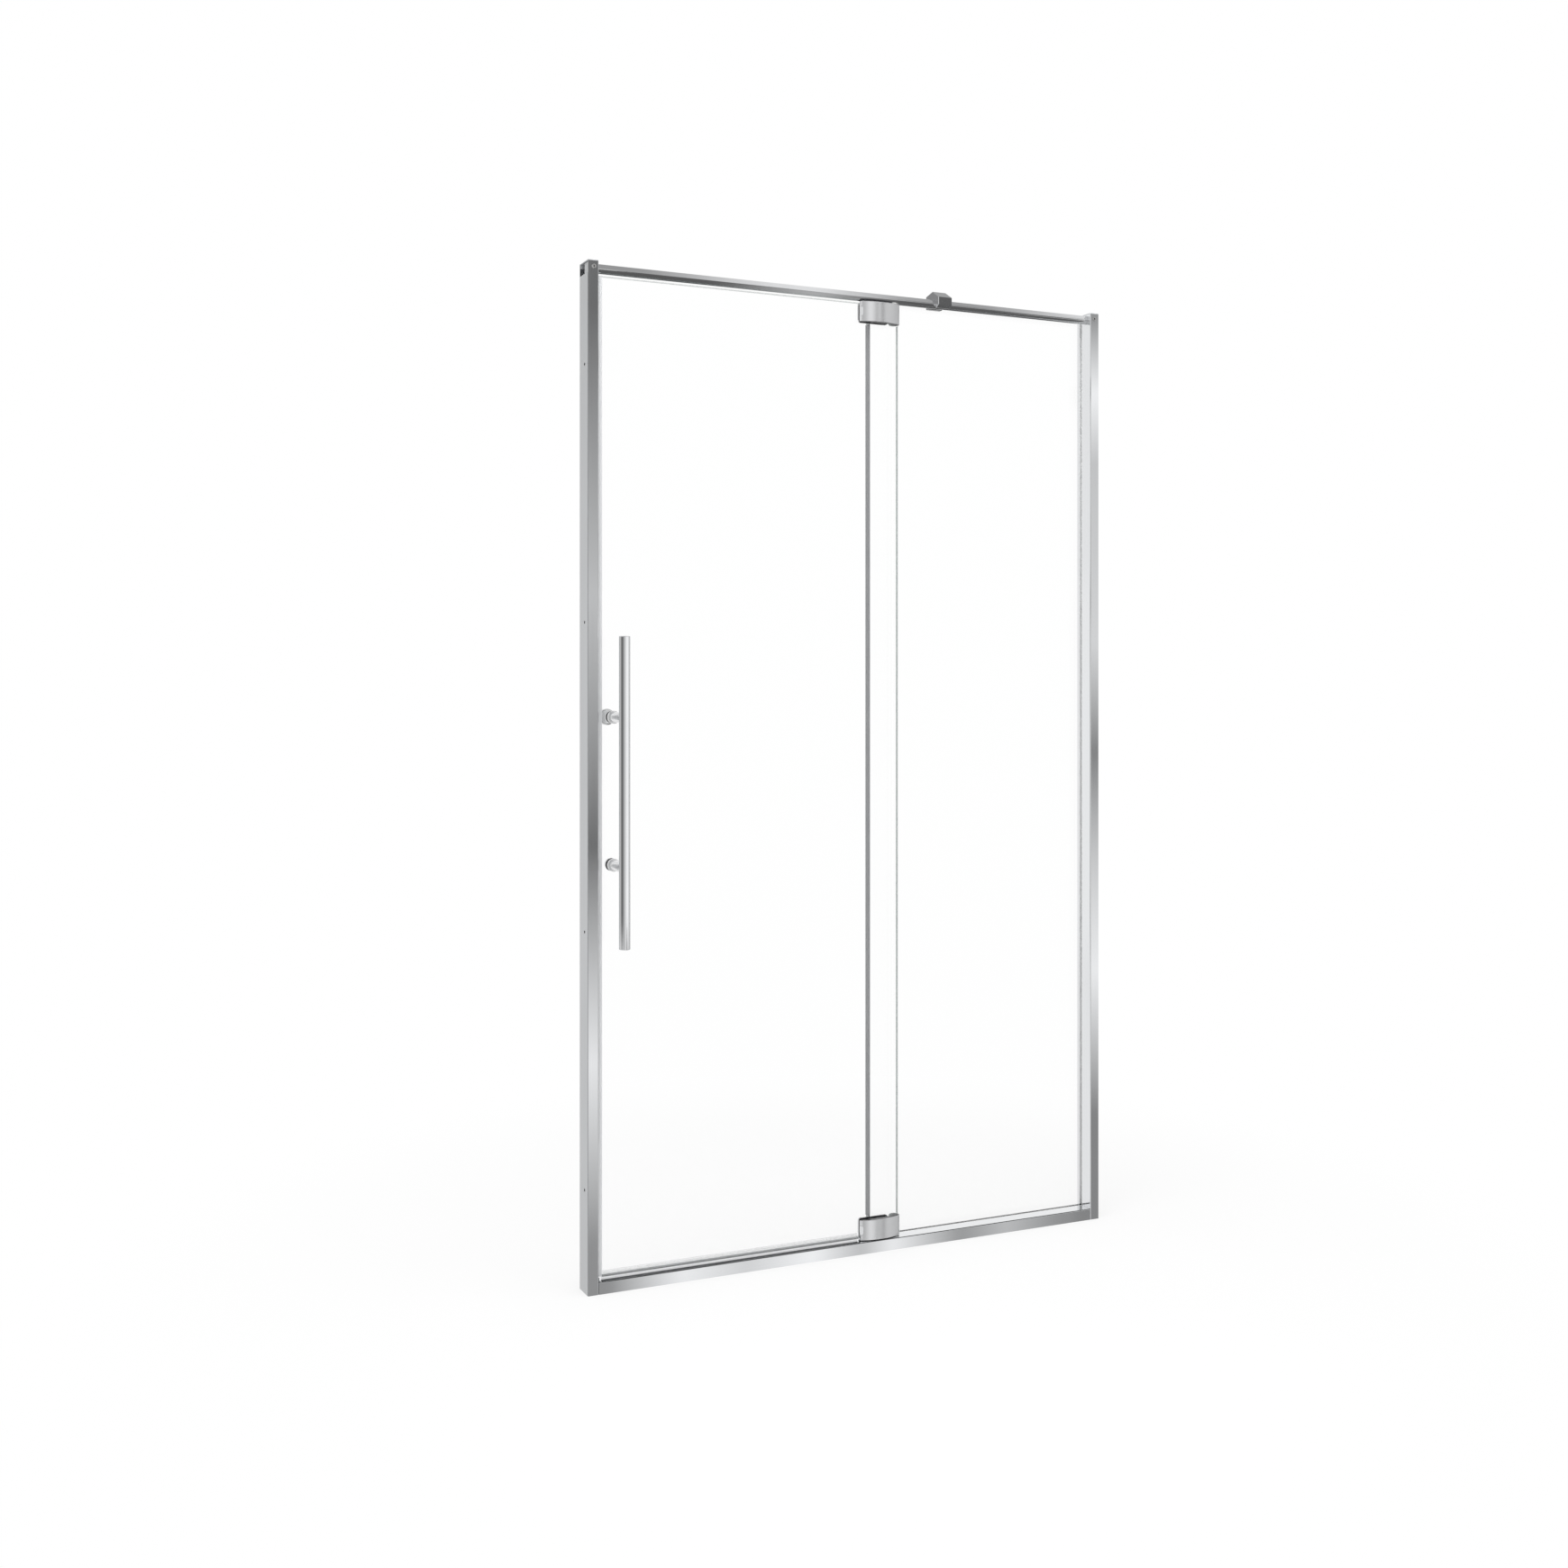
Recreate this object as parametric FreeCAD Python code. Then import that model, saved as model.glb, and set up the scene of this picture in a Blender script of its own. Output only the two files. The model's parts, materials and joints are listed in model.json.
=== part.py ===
import FreeCAD, Part
import math
import os

# A frameless pivot shower door set for an alcove, in millimetres: two wall jambs, a header bar, a sill,
# a fixed pane on the right and a door leaf on the left that swings outwards.
# +X runs along the set, +Y points into the shower and +Z is up. The origin is on the sill's underside,
# midway between the walls, in the middle plane of the door glass. That plane also holds the header bar's
# axis and the swing line.

V = FreeCAD.Vector

# Whole set
set_width = 1190.0            # wall to wall
set_height = 2000.0           # floor of the sill to the jamb tops

# Glass
glass = 8.0
arris = 0.8                   # ground corner along a pane's long edges
pane_gap = 8.0                # clear space between the door leaf and the fixed pane
pane_overlap = 63.5           # how far the door leaf runs past the fixed pane's edge
pivot_x = 90.0                # swing line, from the middle of the set
door_tail = 7.0               # door glass beyond the swing line
door_side_gap = 4.0           # door glass to the left jamb
door_sill_gap = 6.0           # door glass to the sill
door_bar_gap = 4.0            # door glass to the header bar
fixed_rise = 7.0              # fixed pane's top above the header bar's axis
pane_end_gap = 1.0            # fixed pane to the bottom of the jamb pocket

# Jambs and wall channels
jamb_face = 22.0              # width seen from the front
jamb_depth = 50.0
jamb_front = 20.0             # front face, ahead of the door's middle plane
jamb_wall = 2.0
jamb_corner = 1.5             # rounding of the front and rear corners
pocket_depth = 13.0           # glazing pocket in the right jamb
fin_reach = 11.0              # stop fin of the strike rail, beyond the left jamb
fin_thick = 2.0
fin_end_gap = 1.0             # rail to the sill and to the header bar
rail_head = 1.6               # strike rail's head inside the jamb
rail_lip = 1.5                # how far the head overhangs its slot on each side
wall_gap = 0.5                # jamb flanges stop this far from the wall
slide_gap = 0.2               # jamb over wall channel, each side
channel_reach = 16.0          # how far the channel's flanges stand off the wall
channel_wall = 2.0
channel_top_gap = 25.0        # channel's top below the jamb's top
wall_hole_dia = 6.0
wall_hole_end = 200.0         # outer wall holes, from the set's foot and top
wall_hole_step = 500.0        # inner wall holes, from the outer ones
cap_plate = 2.0
cap_corner = 3.0
cap_edge = 0.6
cap_lug_thick = 2.6
cap_lug_drop = 7.0
lock_screw_dia = 3.5
lock_screw_head_dia = 7.0
lock_screw_head = 2.2
lock_screw_length = 5.5
lock_screw_end = 120.0        # outer lock screws, from the jamb's foot and top

# Header bar and its end blocks
bar_dia = 19.0
bar_wall = 1.5
bar_drop = 13.0               # bar's axis below the jamb tops
bar_end_gap = 0.2
spigot_length = 40.0
end_block_width = 17.0
end_block_height = 20.0
end_block_front = 14.0        # block's front face, ahead of the door's middle plane
end_block_gap = 0.5           # block to the glazing pocket
end_screw_dia = 5.0
end_screw_head_dia = 9.0
end_screw_head = 2.0
end_screw_bite = 8.0          # thread in the end block
end_screw_from_wall = 12.0

# Sill
sill_height = 24.0
sill_wall = 2.0
sill_nose = 1.5
sill_end_gap = 0.3
groove_floor = 6.0
weir_top = 10.0               # rear foot of the sill slopes from here
weir_foot = 2.0
infill_plate = 2.0
infill_leg = 1.5
infill_gap = 0.1
infill_end_gap = 0.5
setting_height = 4.0
setting_length = 60.0
setting_inset = 80.0          # setting blocks, from the pane's ends
gasket_side = 1.5             # glazing gasket on each face of the fixed pane
gasket_bite = 11.0            # gaskets' depth in the jamb pocket
key_length = 40.0
key_screw_dia = 4.0
key_screw_head_dia = 8.0
key_screw_head = 2.5
key_screw_bite = 15.0
key_screw_front = 5.0         # key screw, ahead of the door's middle plane

# Pivots
pin_dia = 8.0
pin_bite = 17.0               # pin inside a hinge barrel
bush_wall = 2.0
bush_length = 18.0
bush_flange = 1.5
bush_flange_reach = 3.4
bush_recess = 1.0             # bush flange below the barrel's end
bore_spare = 2.0              # barrel bore beyond the bush
washer_rim = 0.5              # thrust washer inside the barrel's recess, all round
insert_length = 40.0
insert_pin_above = 6.0        # top pin past the bar's axis
seat_length = 50.0
seat_floor = 4.0              # bottom pin above the sill chamber's floor
seat_screw_dia = 5.0
seat_screw_head_dia = 9.0
seat_screw_step = 36.0
seat_screw_bite = 10.0

# Hinge blocks
hinge_height = 42.0
hinge_reach = 85.0            # swing line to the block's rounded end
hinge_gap = 1.0               # block to the sill and to the header bar
hinge_bow = 17.5              # crown of the bowed front, ahead of the door's middle plane
hinge_crown = 40.0            # swing line to the crown
hinge_edge = 0.8
barrel_r = 11.0
barrel_clear = 1.5            # glass and back plate to the barrel
notch_clear = 2.0             # glass to the barrel's end
notch_corner = 6.0
hinge_gasket = 1.0
gasket_inset = 4.0            # gasket inside the block's outline
back_plate = 5.0
back_inset = 3.0
back_corner = 6.0
hinge_screw_dia = 6.0
hinge_screw_head_dia = 11.0
hinge_screw_sink = 3.0        # depth of the countersink
hinge_screw_first = 23.0      # first clamp screw, from the rounded end
hinge_screw_step = 30.0
hinge_screw_bite = 7.0
hinge_glass_hole = 12.0
plug_width = 8.0
plug_height = 20.0
plug_pocket = 1.8
plug_sunk = 0.4
plug_turn = 45.0              # degrees from the front, on the rounded end

# Bar clamp
clamp_x = 202.0               # middle of the clamp
clamp_length = 33.0
clamp_front = 21.0            # ahead of the bar's axis
clamp_back = 31.0             # behind it
clamp_ridge_y = 5.0
clamp_ridge = 28.0            # heights above the bar's axis
clamp_front_shoulder = 12.5
clamp_back_shoulder = 22.0
clamp_lip = 6.0               # bevelled lower lip of the front face
clamp_lip_back = 9.0
clamp_front_drop = 9.0        # below the bar's axis
clamp_back_drop = 6.0
clamp_roof_gap = 2.0          # fixed pane to the clamp's roof
clamp_pad = 1.0
clamp_screw_dia = 6.0
clamp_screw_inset = 10.0
clamp_screw_sunk = 0.5
clamp_edge = 0.8

# Pull handle
handle_length = 600.0
handle_dia = 22.0
handle_wall = 1.5
handle_middle = 972.0         # height of the handle's middle
handle_from_edge = 31.0       # handle's axis from the door glass's left edge
handle_reach = 65.0           # handle's axis ahead of the door glass
post_step = 288.0
post_dia = 20.0
collar_dia = 25.0
collar_width = 6.0
collar_edge = 1.0
handle_washer = 1.0
handle_washer_inset = 0.5     # washer inside the collar's rim
handle_glass_hole = 14.0
stud_dia = 8.0
stud_in_handle = 3.0          # stud past the handle tube's inner wall
stud_in_cap = 4.0
stud_in_knob = 18.0
set_screw_dia = 5.0
set_screw_back = 22.0         # set screw behind the handle's axis
end_cap_disc = 2.0
end_cap_edge = 1.2
end_cap_plug = 8.0
knob_dia = 32.0
knob_neck_dia = 20.0
knob_base_dia = 24.0
knob_base = 5.0
knob_head = 20.0
knob_length = 40.0
knob_edge = 4.0
back_cap_dia = 25.0
back_cap = 7.0
back_cap_edge = 1.5

# Seals and magnets
seal_wall = 1.2
seal_grip = 8.0               # seal legs over the glass
seal_nose = 3.4               # edge seal beyond the door glass
seal_nose_round = 2.5
magnet_leg = 1.8              # leg of a seal that holds a magnet strip
magnet = 1.0
magnet_width = 6.0
strike_gap = 0.4              # edge seal to strike seal
drip_gap = 0.6                # drip fin to the sill
drip_lean = 1.0
drip_from_middle = 2.0
fixed_seal_wall = 1.0
fixed_seal_grip = 5.0
fixed_seal_gap = 0.4          # fixed pane's seal to the door glass
seal_end_gap = 1.0            # a seal's end to the next piece

# Clearances
fit_gap = 0.05                # radial clearance of a piece fixed in its hole
running_gap = 0.05            # clearance of the turning pivot fits
sleeve_gap = 0.2              # sleeve in its glass hole
screw_gap = 0.2               # screw in a clear hole

# Places that follow from the sizes above
half_width = set_width / 2
jamb_in = half_width - jamb_face
jamb_y0 = -jamb_front
jamb_y1 = jamb_y0 + jamb_depth
jamb_top = set_height - cap_plate
channel_y0 = jamb_y0 + jamb_wall + slide_gap
channel_y1 = jamb_y1 - jamb_wall - slide_gap
half_glass = glass / 2
fixed_y0 = half_glass + pane_gap
fixed_y1 = fixed_y0 + glass
pocket_y0 = fixed_y0 - gasket_side
pocket_y1 = fixed_y1 + gasket_side
pocket_x = jamb_in + pocket_depth
bar_r = bar_dia / 2
bar_bore_r = bar_r - bar_wall
bar_z = set_height - bar_drop
bar_low = bar_z - bar_r
door_x0 = door_side_gap - jamb_in
door_x1 = pivot_x + door_tail
door_z0 = sill_height + door_sill_gap
door_z1 = bar_low - door_bar_gap
fixed_x0 = door_x1 - pane_overlap
fixed_x1 = pocket_x - pane_end_gap
fixed_z0 = groove_floor + setting_height
fixed_z1 = bar_z + fixed_rise
sill_x = jamb_in - sill_end_gap
chamber_y0 = jamb_y0 + sill_wall
chamber_y1 = pocket_y0 - sill_wall
chamber_top = sill_height - sill_wall
hinge_x0 = pivot_x - hinge_reach
hinge_low = sill_height + hinge_gap
hinge_high = bar_low - hinge_gap
plate_back = -half_glass - hinge_gasket
barrel_edge = pivot_x - barrel_r - barrel_clear
pin_r = pin_dia / 2
bush_bore_r = pin_r + running_gap
bush_r = bush_bore_r + bush_wall
flange_r = bush_r + bush_flange_reach
recess_r = flange_r + fit_gap
handle_x = door_x0 + handle_from_edge
handle_y = -half_glass - handle_reach
handle_r = handle_dia / 2
post_heights = [handle_middle - post_step / 2, handle_middle + post_step / 2]
collar_y = -half_glass - handle_washer
strike_y0 = half_glass + magnet_leg + strike_gap
fin_y0 = strike_y0 + magnet_leg
fin_y1 = fin_y0 + fin_thick
fin_z0 = sill_height + fin_end_gap
fin_z1 = bar_low - fin_end_gap
fin_x = fin_reach - jamb_in
clamp_x0 = clamp_x - clamp_length / 2
clamp_x1 = clamp_x + clamp_length / 2
clamp_roof = fixed_z1 + clamp_roof_gap


# Drawing helpers

def spot(plane, a, b, level):
    """The point (a, b) of a drawing plane at a level along its normal."""
    return {"XY": V(a, b, level), "YZ": V(level, a, b), "XZ": V(a, level, b)}[plane]


def loop(plane, corners, level):
    """A closed wire through corners (a, b) or (a, b, radius). Corners with a radius are rounded."""
    places = [spot(plane, c[0], c[1], level) for c in corners]
    runs = []
    for i, corner in enumerate(corners):
        here = places[i]
        if len(corner) == 2:
            runs.append((here, None, here))
            continue
        back = (places[i - 1] - here).normalize()
        ahead = (places[(i + 1) % len(places)] - here).normalize()
        half_angle = back.getAngle(ahead) / 2
        reach = corner[2] / math.tan(half_angle)
        inward = (back + ahead).normalize()
        middle = here + inward * (corner[2] / math.sin(half_angle) - corner[2])
        runs.append((here + back * reach, middle, here + ahead * reach))
    edges = []
    for i, (start, middle, end) in enumerate(runs):
        if middle is not None:
            edges.append(Part.Arc(start, middle, end).toShape())
        following = runs[(i + 1) % len(runs)][0]
        edges.append(Part.LineSegment(end, following).toShape())
    return Part.Wire(edges)


def prism(plane, corners, start, end):
    """A straight solid with that outline, from one level to another along the plane's normal."""
    return Part.Face(loop(plane, corners, start)).extrude(spot(plane, 0, 0, end - start))


def rectangle(a0, a1, b0, b1, radius=None):
    corners = [(a0, b0), (a1, b0), (a1, b1), (a0, b1)]
    return corners if radius is None else [(a, b, radius) for a, b in corners]


def block(x0, x1, y0, y1, z0, z1):
    return Part.makeBox(x1 - x0, y1 - y0, z1 - z0, V(x0, y0, z0))


def rod(axis, a, b, radius, start, end):
    """A cylinder along X, Y or Z. a and b are its axis's other two coordinates, in X, Y, Z order."""
    base = {"X": V(start, a, b), "Y": V(a, start, b), "Z": V(a, b, start)}[axis]
    heading = {"X": V(1, 0, 0), "Y": V(0, 1, 0), "Z": V(0, 0, 1)}[axis]
    return Part.makeCylinder(radius, end - start, base, heading)


def ring(axis, a, b, outer, inner, start, end):
    return rod(axis, a, b, outer, start, end).cut(rod(axis, a, b, inner, start, end))


def edges_at(shape, coordinate, level):
    """The edges of a shape that lie wholly at one level of x, y or z."""
    near = 1e-4
    return [e for e in shape.Edges
            if all(abs(getattr(v.Point, coordinate) - level) < near for v in e.Vertexes)
            and abs(getattr(e.CenterOfMass, coordinate) - level) < near]


def mirror_x(shape):
    return shape.mirror(V(0, 0, 0), V(1, 0, 0))


def both_sides(shape):
    return [shape, mirror_x(shape)]


def cut_all(shape, tools):
    for tool in tools:
        shape = shape.cut(tool)
    return shape


# Jambs: right-hand pieces are drawn, left-hand ones are mirrored

def wall_channel():
    outline = [(half_width, channel_y0), (half_width - channel_reach, channel_y0),
               (half_width - channel_reach, channel_y0 + channel_wall),
               (half_width - channel_wall, channel_y0 + channel_wall),
               (half_width - channel_wall, channel_y1 - channel_wall),
               (half_width - channel_reach, channel_y1 - channel_wall),
               (half_width - channel_reach, channel_y1), (half_width, channel_y1)]
    channel = prism("XY", outline, 0, set_height - channel_top_gap)
    holes = [rod("X", 0, z, wall_hole_dia / 2, half_width - channel_wall, half_width)
             for z in wall_hole_heights()]
    return cut_all(channel, holes + lock_screw_holes())


def wall_hole_heights():
    low = [wall_hole_end, wall_hole_end + wall_hole_step]
    return low + [set_height - z for z in low]


def lock_screw_places():
    x = half_width - channel_reach / 2
    return [(x, z) for z in (lock_screw_end, set_height / 2, set_height - lock_screw_end)]


def lock_screw_holes():
    radius = lock_screw_dia / 2 + fit_gap
    return [rod("Y", x, z, radius, jamb_y1 - lock_screw_length, jamb_y1) for x, z in lock_screw_places()]


def lock_screws():
    screws = []
    for x, z in lock_screw_places():
        shank = rod("Y", x, z, lock_screw_dia / 2, jamb_y1 - lock_screw_length, jamb_y1)
        head = rod("Y", x, z, lock_screw_head_dia / 2, jamb_y1, jamb_y1 + lock_screw_head)
        screws.append(shank.fuse(head).removeSplitter())
    return screws


def jamb_openings():
    """Holes that both jambs have: bar spigot, front screw, corner key screw and lock screws."""
    spigot = rod("X", 0, bar_z, bar_bore_r, jamb_in, jamb_in + jamb_wall)
    front = rod("Y", half_width - end_screw_from_wall, bar_z, end_screw_dia / 2 + fit_gap,
                jamb_y0, jamb_y0 + jamb_wall)
    key = rod("X", -key_screw_front, sill_height / 2, key_screw_dia / 2 + fit_gap,
              jamb_in, jamb_in + jamb_wall)
    return [spigot, front, key] + lock_screw_holes()


def right_jamb():
    """A channel over the wall channel, with a glazing pocket set into its inner face."""
    edge = half_width - wall_gap
    inside = jamb_in + jamb_wall
    outline = [(edge, jamb_y0), (jamb_in, jamb_y0, jamb_corner),
               (jamb_in, pocket_y0), (pocket_x, pocket_y0), (pocket_x, pocket_y1), (jamb_in, pocket_y1),
               (jamb_in, jamb_y1, jamb_corner), (edge, jamb_y1), (edge, jamb_y1 - jamb_wall),
               (inside, jamb_y1 - jamb_wall), (inside, pocket_y1 + jamb_wall),
               (pocket_x + jamb_wall, pocket_y1 + jamb_wall), (pocket_x + jamb_wall, pocket_y0 - jamb_wall),
               (inside, pocket_y0 - jamb_wall), (inside, jamb_y0 + jamb_wall), (edge, jamb_y0 + jamb_wall)]
    return cut_all(prism("XY", outline, 0, jamb_top), jamb_openings())


def left_jamb():
    """The same channel without a pocket, with a slot open at the foot for the strike rail."""
    edge = half_width - wall_gap
    inside = jamb_in + jamb_wall
    outline = [(edge, jamb_y0), (jamb_in, jamb_y0, jamb_corner), (jamb_in, jamb_y1, jamb_corner),
               (edge, jamb_y1), (edge, jamb_y1 - jamb_wall), (inside, jamb_y1 - jamb_wall),
               (inside, jamb_y0 + jamb_wall), (edge, jamb_y0 + jamb_wall)]
    channel = mirror_x(cut_all(prism("XY", outline, 0, jamb_top), jamb_openings()))
    return channel.cut(block(-inside, -jamb_in, fin_y0 - fit_gap, fin_y1 + fit_gap, 0, fin_z1 + fit_gap))


def jamb_cap():
    """A top plate with two lugs inside the jamb, clear of the bar's end block."""
    edge = half_width - wall_gap
    outline = [(edge, jamb_y0), (jamb_in, jamb_y0, cap_corner),
               (jamb_in, jamb_y1, cap_corner), (edge, jamb_y1)]
    plate = prism("XY", outline, jamb_top, set_height)
    plate = plate.makeChamfer(cap_edge, edges_at(plate, "z", set_height))
    lug_x0 = jamb_in + jamb_wall + slide_gap
    lug_x1 = half_width - channel_wall - slide_gap
    lugs = [block(lug_x0, lug_x1, y, y + cap_lug_thick, jamb_top - cap_lug_drop, jamb_top)
            for y in (channel_y0, channel_y1 - cap_lug_thick)]
    return plate.fuse(lugs).removeSplitter()


# Header bar

def header_bar():
    end = jamb_in - bar_end_gap
    tube = ring("X", 0, bar_z, bar_r, bar_bore_r, -end, end)
    return tube.cut(rod("Z", pivot_x, 0, pin_r + fit_gap, bar_low, bar_z))


def bar_end_block():
    """A block inside the jamb with a spigot through the jamb's face into the bar."""
    x0 = jamb_in + jamb_wall
    body = block(x0, x0 + end_block_width, -end_block_front, pocket_y0 - jamb_wall - end_block_gap,
                 bar_z - end_block_height / 2, bar_z + end_block_height / 2)
    spigot = rod("X", 0, bar_z, bar_bore_r - fit_gap, jamb_in - spigot_length, x0)
    hole = rod("Y", half_width - end_screw_from_wall, bar_z, end_screw_dia / 2 + fit_gap,
               -end_block_front, -end_block_front + end_screw_bite)
    return body.fuse(spigot).removeSplitter().cut(hole)


def bar_end_screw():
    x = half_width - end_screw_from_wall
    shank = rod("Y", x, bar_z, end_screw_dia / 2, jamb_y0, -end_block_front + end_screw_bite)
    head = rod("Y", x, bar_z, end_screw_head_dia / 2, jamb_y0 - end_screw_head, jamb_y0)
    head = head.makeFillet(end_screw_head / 2, edges_at(head, "y", jamb_y0 - end_screw_head))
    return shank.fuse(head).removeSplitter()


def top_pivot_insert():
    core = rod("X", 0, bar_z, bar_bore_r - fit_gap,
               pivot_x - insert_length / 2, pivot_x + insert_length / 2)
    return core.cut(rod("Z", pivot_x, 0, pin_r + fit_gap, bar_low, bar_z + insert_pin_above))


# Sill

def sill():
    """One extrusion: a hollow front chamber, a glazing groove and a rear foot that sheds water inwards."""
    lip = pocket_y1 + sill_wall
    outline = [(jamb_y0, 0), (jamb_y0, sill_height, sill_nose), (pocket_y0, sill_height),
               (pocket_y0, groove_floor), (pocket_y1, groove_floor), (pocket_y1, sill_height),
               (lip, sill_height, sill_wall / 2), (lip, weir_top), (jamb_y1, weir_foot), (jamb_y1, 0)]
    rail = prism("YZ", outline, -sill_x, sill_x)
    chamber = prism("YZ", rectangle(chamber_y0, chamber_y1, sill_wall, chamber_top), -sill_x, sill_x)
    pin_hole = rod("Z", pivot_x, 0, pin_r + fit_gap, chamber_top, sill_height)
    sinks = [seat_screw(x, fit_gap) for x in seat_screw_places()]
    return cut_all(rail.cut(chamber), [pin_hole] + sinks)


def corner_key():
    key = block(sill_x - key_length, sill_x, chamber_y0 + fit_gap, chamber_y1 - fit_gap,
                sill_wall + fit_gap, chamber_top - fit_gap)
    hole = rod("X", -key_screw_front, sill_height / 2, key_screw_dia / 2 + fit_gap,
               jamb_in - key_screw_bite, sill_x)
    return key.cut(hole)


def key_screw():
    y, z = -key_screw_front, sill_height / 2
    seat = jamb_in + jamb_wall
    shank = rod("X", y, z, key_screw_dia / 2, jamb_in - key_screw_bite, seat)
    return shank.fuse(rod("X", y, z, key_screw_head_dia / 2, seat, seat + key_screw_head)).removeSplitter()


def sill_infill():
    """A clip-in strip that closes the groove level with the sill's top, under the door."""
    y0 = pocket_y0 + infill_gap
    y1 = pocket_y1 - infill_gap
    under = sill_height - infill_plate
    outline = [(y0, groove_floor), (y0, sill_height), (y1, sill_height), (y1, groove_floor),
               (y1 - infill_leg, groove_floor), (y1 - infill_leg, under),
               (y0 + infill_leg, under), (y0 + infill_leg, groove_floor)]
    return prism("YZ", outline, -sill_x, fixed_x0 - infill_end_gap)


def seat_screw_places():
    return [pivot_x - seat_screw_step / 2, pivot_x + seat_screw_step / 2]


def seat_screw(x, clearance):
    """A countersunk screw up through the sill's floor, or its hole when there is a clearance."""
    head_r = seat_screw_head_dia / 2 + clearance
    shank_r = seat_screw_dia / 2 + clearance
    head = Part.makeCone(head_r, shank_r, sill_wall, V(x, 0, 0))
    return head.fuse(rod("Z", x, 0, shank_r, sill_wall, sill_wall + seat_screw_bite)).removeSplitter()


def pivot_seat():
    body = block(pivot_x - seat_length / 2, pivot_x + seat_length / 2,
                 chamber_y0 + fit_gap, chamber_y1 - fit_gap, sill_wall + fit_gap, chamber_top - fit_gap)
    pin_hole = rod("Z", pivot_x, 0, pin_r + fit_gap, sill_wall + seat_floor, chamber_top)
    return cut_all(body, [pin_hole] + [seat_screw(x, fit_gap) for x in seat_screw_places()])


def thrust_washer():
    top = hinge_low + bush_recess - running_gap
    return ring("Z", pivot_x, 0, recess_r - washer_rim, pin_r + fit_gap, sill_height, top)


def setting_blocks():
    half = setting_length / 2
    y0 = pocket_y0 + infill_gap
    y1 = pocket_y1 - infill_gap
    return [block(x - half, x + half, y0, y1, groove_floor, fixed_z0)
            for x in (fixed_x0 + setting_inset, fixed_x1 - setting_inset)]


# Fixed pane

def fixed_glass():
    outline = [(fixed_x0, fixed_y0, arris), (fixed_x1, fixed_y0, arris),
               (fixed_x1, fixed_y1, arris), (fixed_x0, fixed_y1, arris)]
    return prism("XY", outline, fixed_z0, fixed_z1)


def gasket_faces():
    return [(pocket_y0, fixed_y0), (fixed_y1, pocket_y1)]


def jamb_gaskets():
    return [block(jamb_in, jamb_in + gasket_bite, y0, y1, sill_height, fixed_z1)
            for y0, y1 in gasket_faces()]


def sill_gaskets():
    return [block(fixed_x0, sill_x, y0, y1, fixed_z0, sill_height) for y0, y1 in gasket_faces()]


def fixed_edge_seal():
    """A clip over the pane's free edge with a blade that reaches to the door's inner face."""
    x0 = fixed_x0 - fixed_seal_wall
    blade = half_glass + fixed_seal_gap
    grip = fixed_x0 + fixed_seal_grip
    front = fixed_y0 - fixed_seal_wall
    back = fixed_y1 + fixed_seal_wall
    outline = [(x0, blade), (fixed_x0 + fixed_seal_wall, blade), (fixed_x0 + fixed_seal_wall, front),
               (grip, front), (grip, fixed_y0), (fixed_x0, fixed_y0), (fixed_x0, fixed_y1),
               (grip, fixed_y1), (grip, back), (x0, back, fixed_seal_wall)]
    low = hinge_low + hinge_height + seal_end_gap
    return prism("XY", outline, low, hinge_high - hinge_height - seal_end_gap)


# Bar clamp

def bar_clamp():
    """A house-shaped saddle over the bar whose rear jaw hangs behind the fixed pane."""
    front_foot = bar_z - clamp_front_drop
    back_foot = bar_z - clamp_back_drop
    jaw = fixed_y1 + clamp_pad
    outline = [(-clamp_front, front_foot + clamp_lip), (-clamp_front, bar_z + clamp_front_shoulder),
               (clamp_ridge_y, bar_z + clamp_ridge), (clamp_back, bar_z + clamp_back_shoulder),
               (clamp_back, back_foot), (jaw, back_foot), (jaw, clamp_roof), (0, clamp_roof),
               (0, front_foot), (-clamp_front + clamp_lip_back, front_foot)]
    body = prism("YZ", outline, clamp_x0, clamp_x1)
    ends = edges_at(body, "x", clamp_x0) + edges_at(body, "x", clamp_x1)
    outer = [e for e in ends if e.CenterOfMass.z > clamp_roof or e.CenterOfMass.y < -bar_r - fit_gap]
    body = body.makeChamfer(clamp_edge, outer)
    bar_way = rod("X", 0, bar_z, bar_r + fit_gap, clamp_x0, clamp_x1)
    below = block(clamp_x0, clamp_x1, -bar_r - fit_gap, jaw, front_foot, bar_z)
    holes = [rod("Y", x, clamp_screw_height(), clamp_screw_dia / 2 + fit_gap, jaw, clamp_back)
             for x in clamp_screw_places()]
    return cut_all(body, [bar_way, below] + holes)


def clamp_screw_places():
    return [clamp_x0 + clamp_screw_inset, clamp_x1 - clamp_screw_inset]


def clamp_screw_height():
    return bar_z + fit_gap


def clamp_screws():
    start = fixed_y1 + clamp_pad
    return [rod("Y", x, clamp_screw_height(), clamp_screw_dia / 2, start, clamp_back - clamp_screw_sunk)
            for x in clamp_screw_places()]


def clamp_bar_pad():
    """A saddle pad that fills the space between the bar and the fixed pane."""
    body = block(clamp_x0, clamp_x1, 0, fixed_y0, bar_z - clamp_back_drop, clamp_roof)
    over = block(clamp_x0, clamp_x1, 0, bar_bore_r / 2, bar_z - bar_r, clamp_roof)
    return body.cut(rod("X", 0, bar_z, bar_r + fit_gap, clamp_x0, clamp_x1)).cut(over)


def clamp_glass_pad():
    return block(clamp_x0, clamp_x1, fixed_y1, fixed_y1 + clamp_pad, bar_z - clamp_back_drop, fixed_z1)


# Left strike

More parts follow.
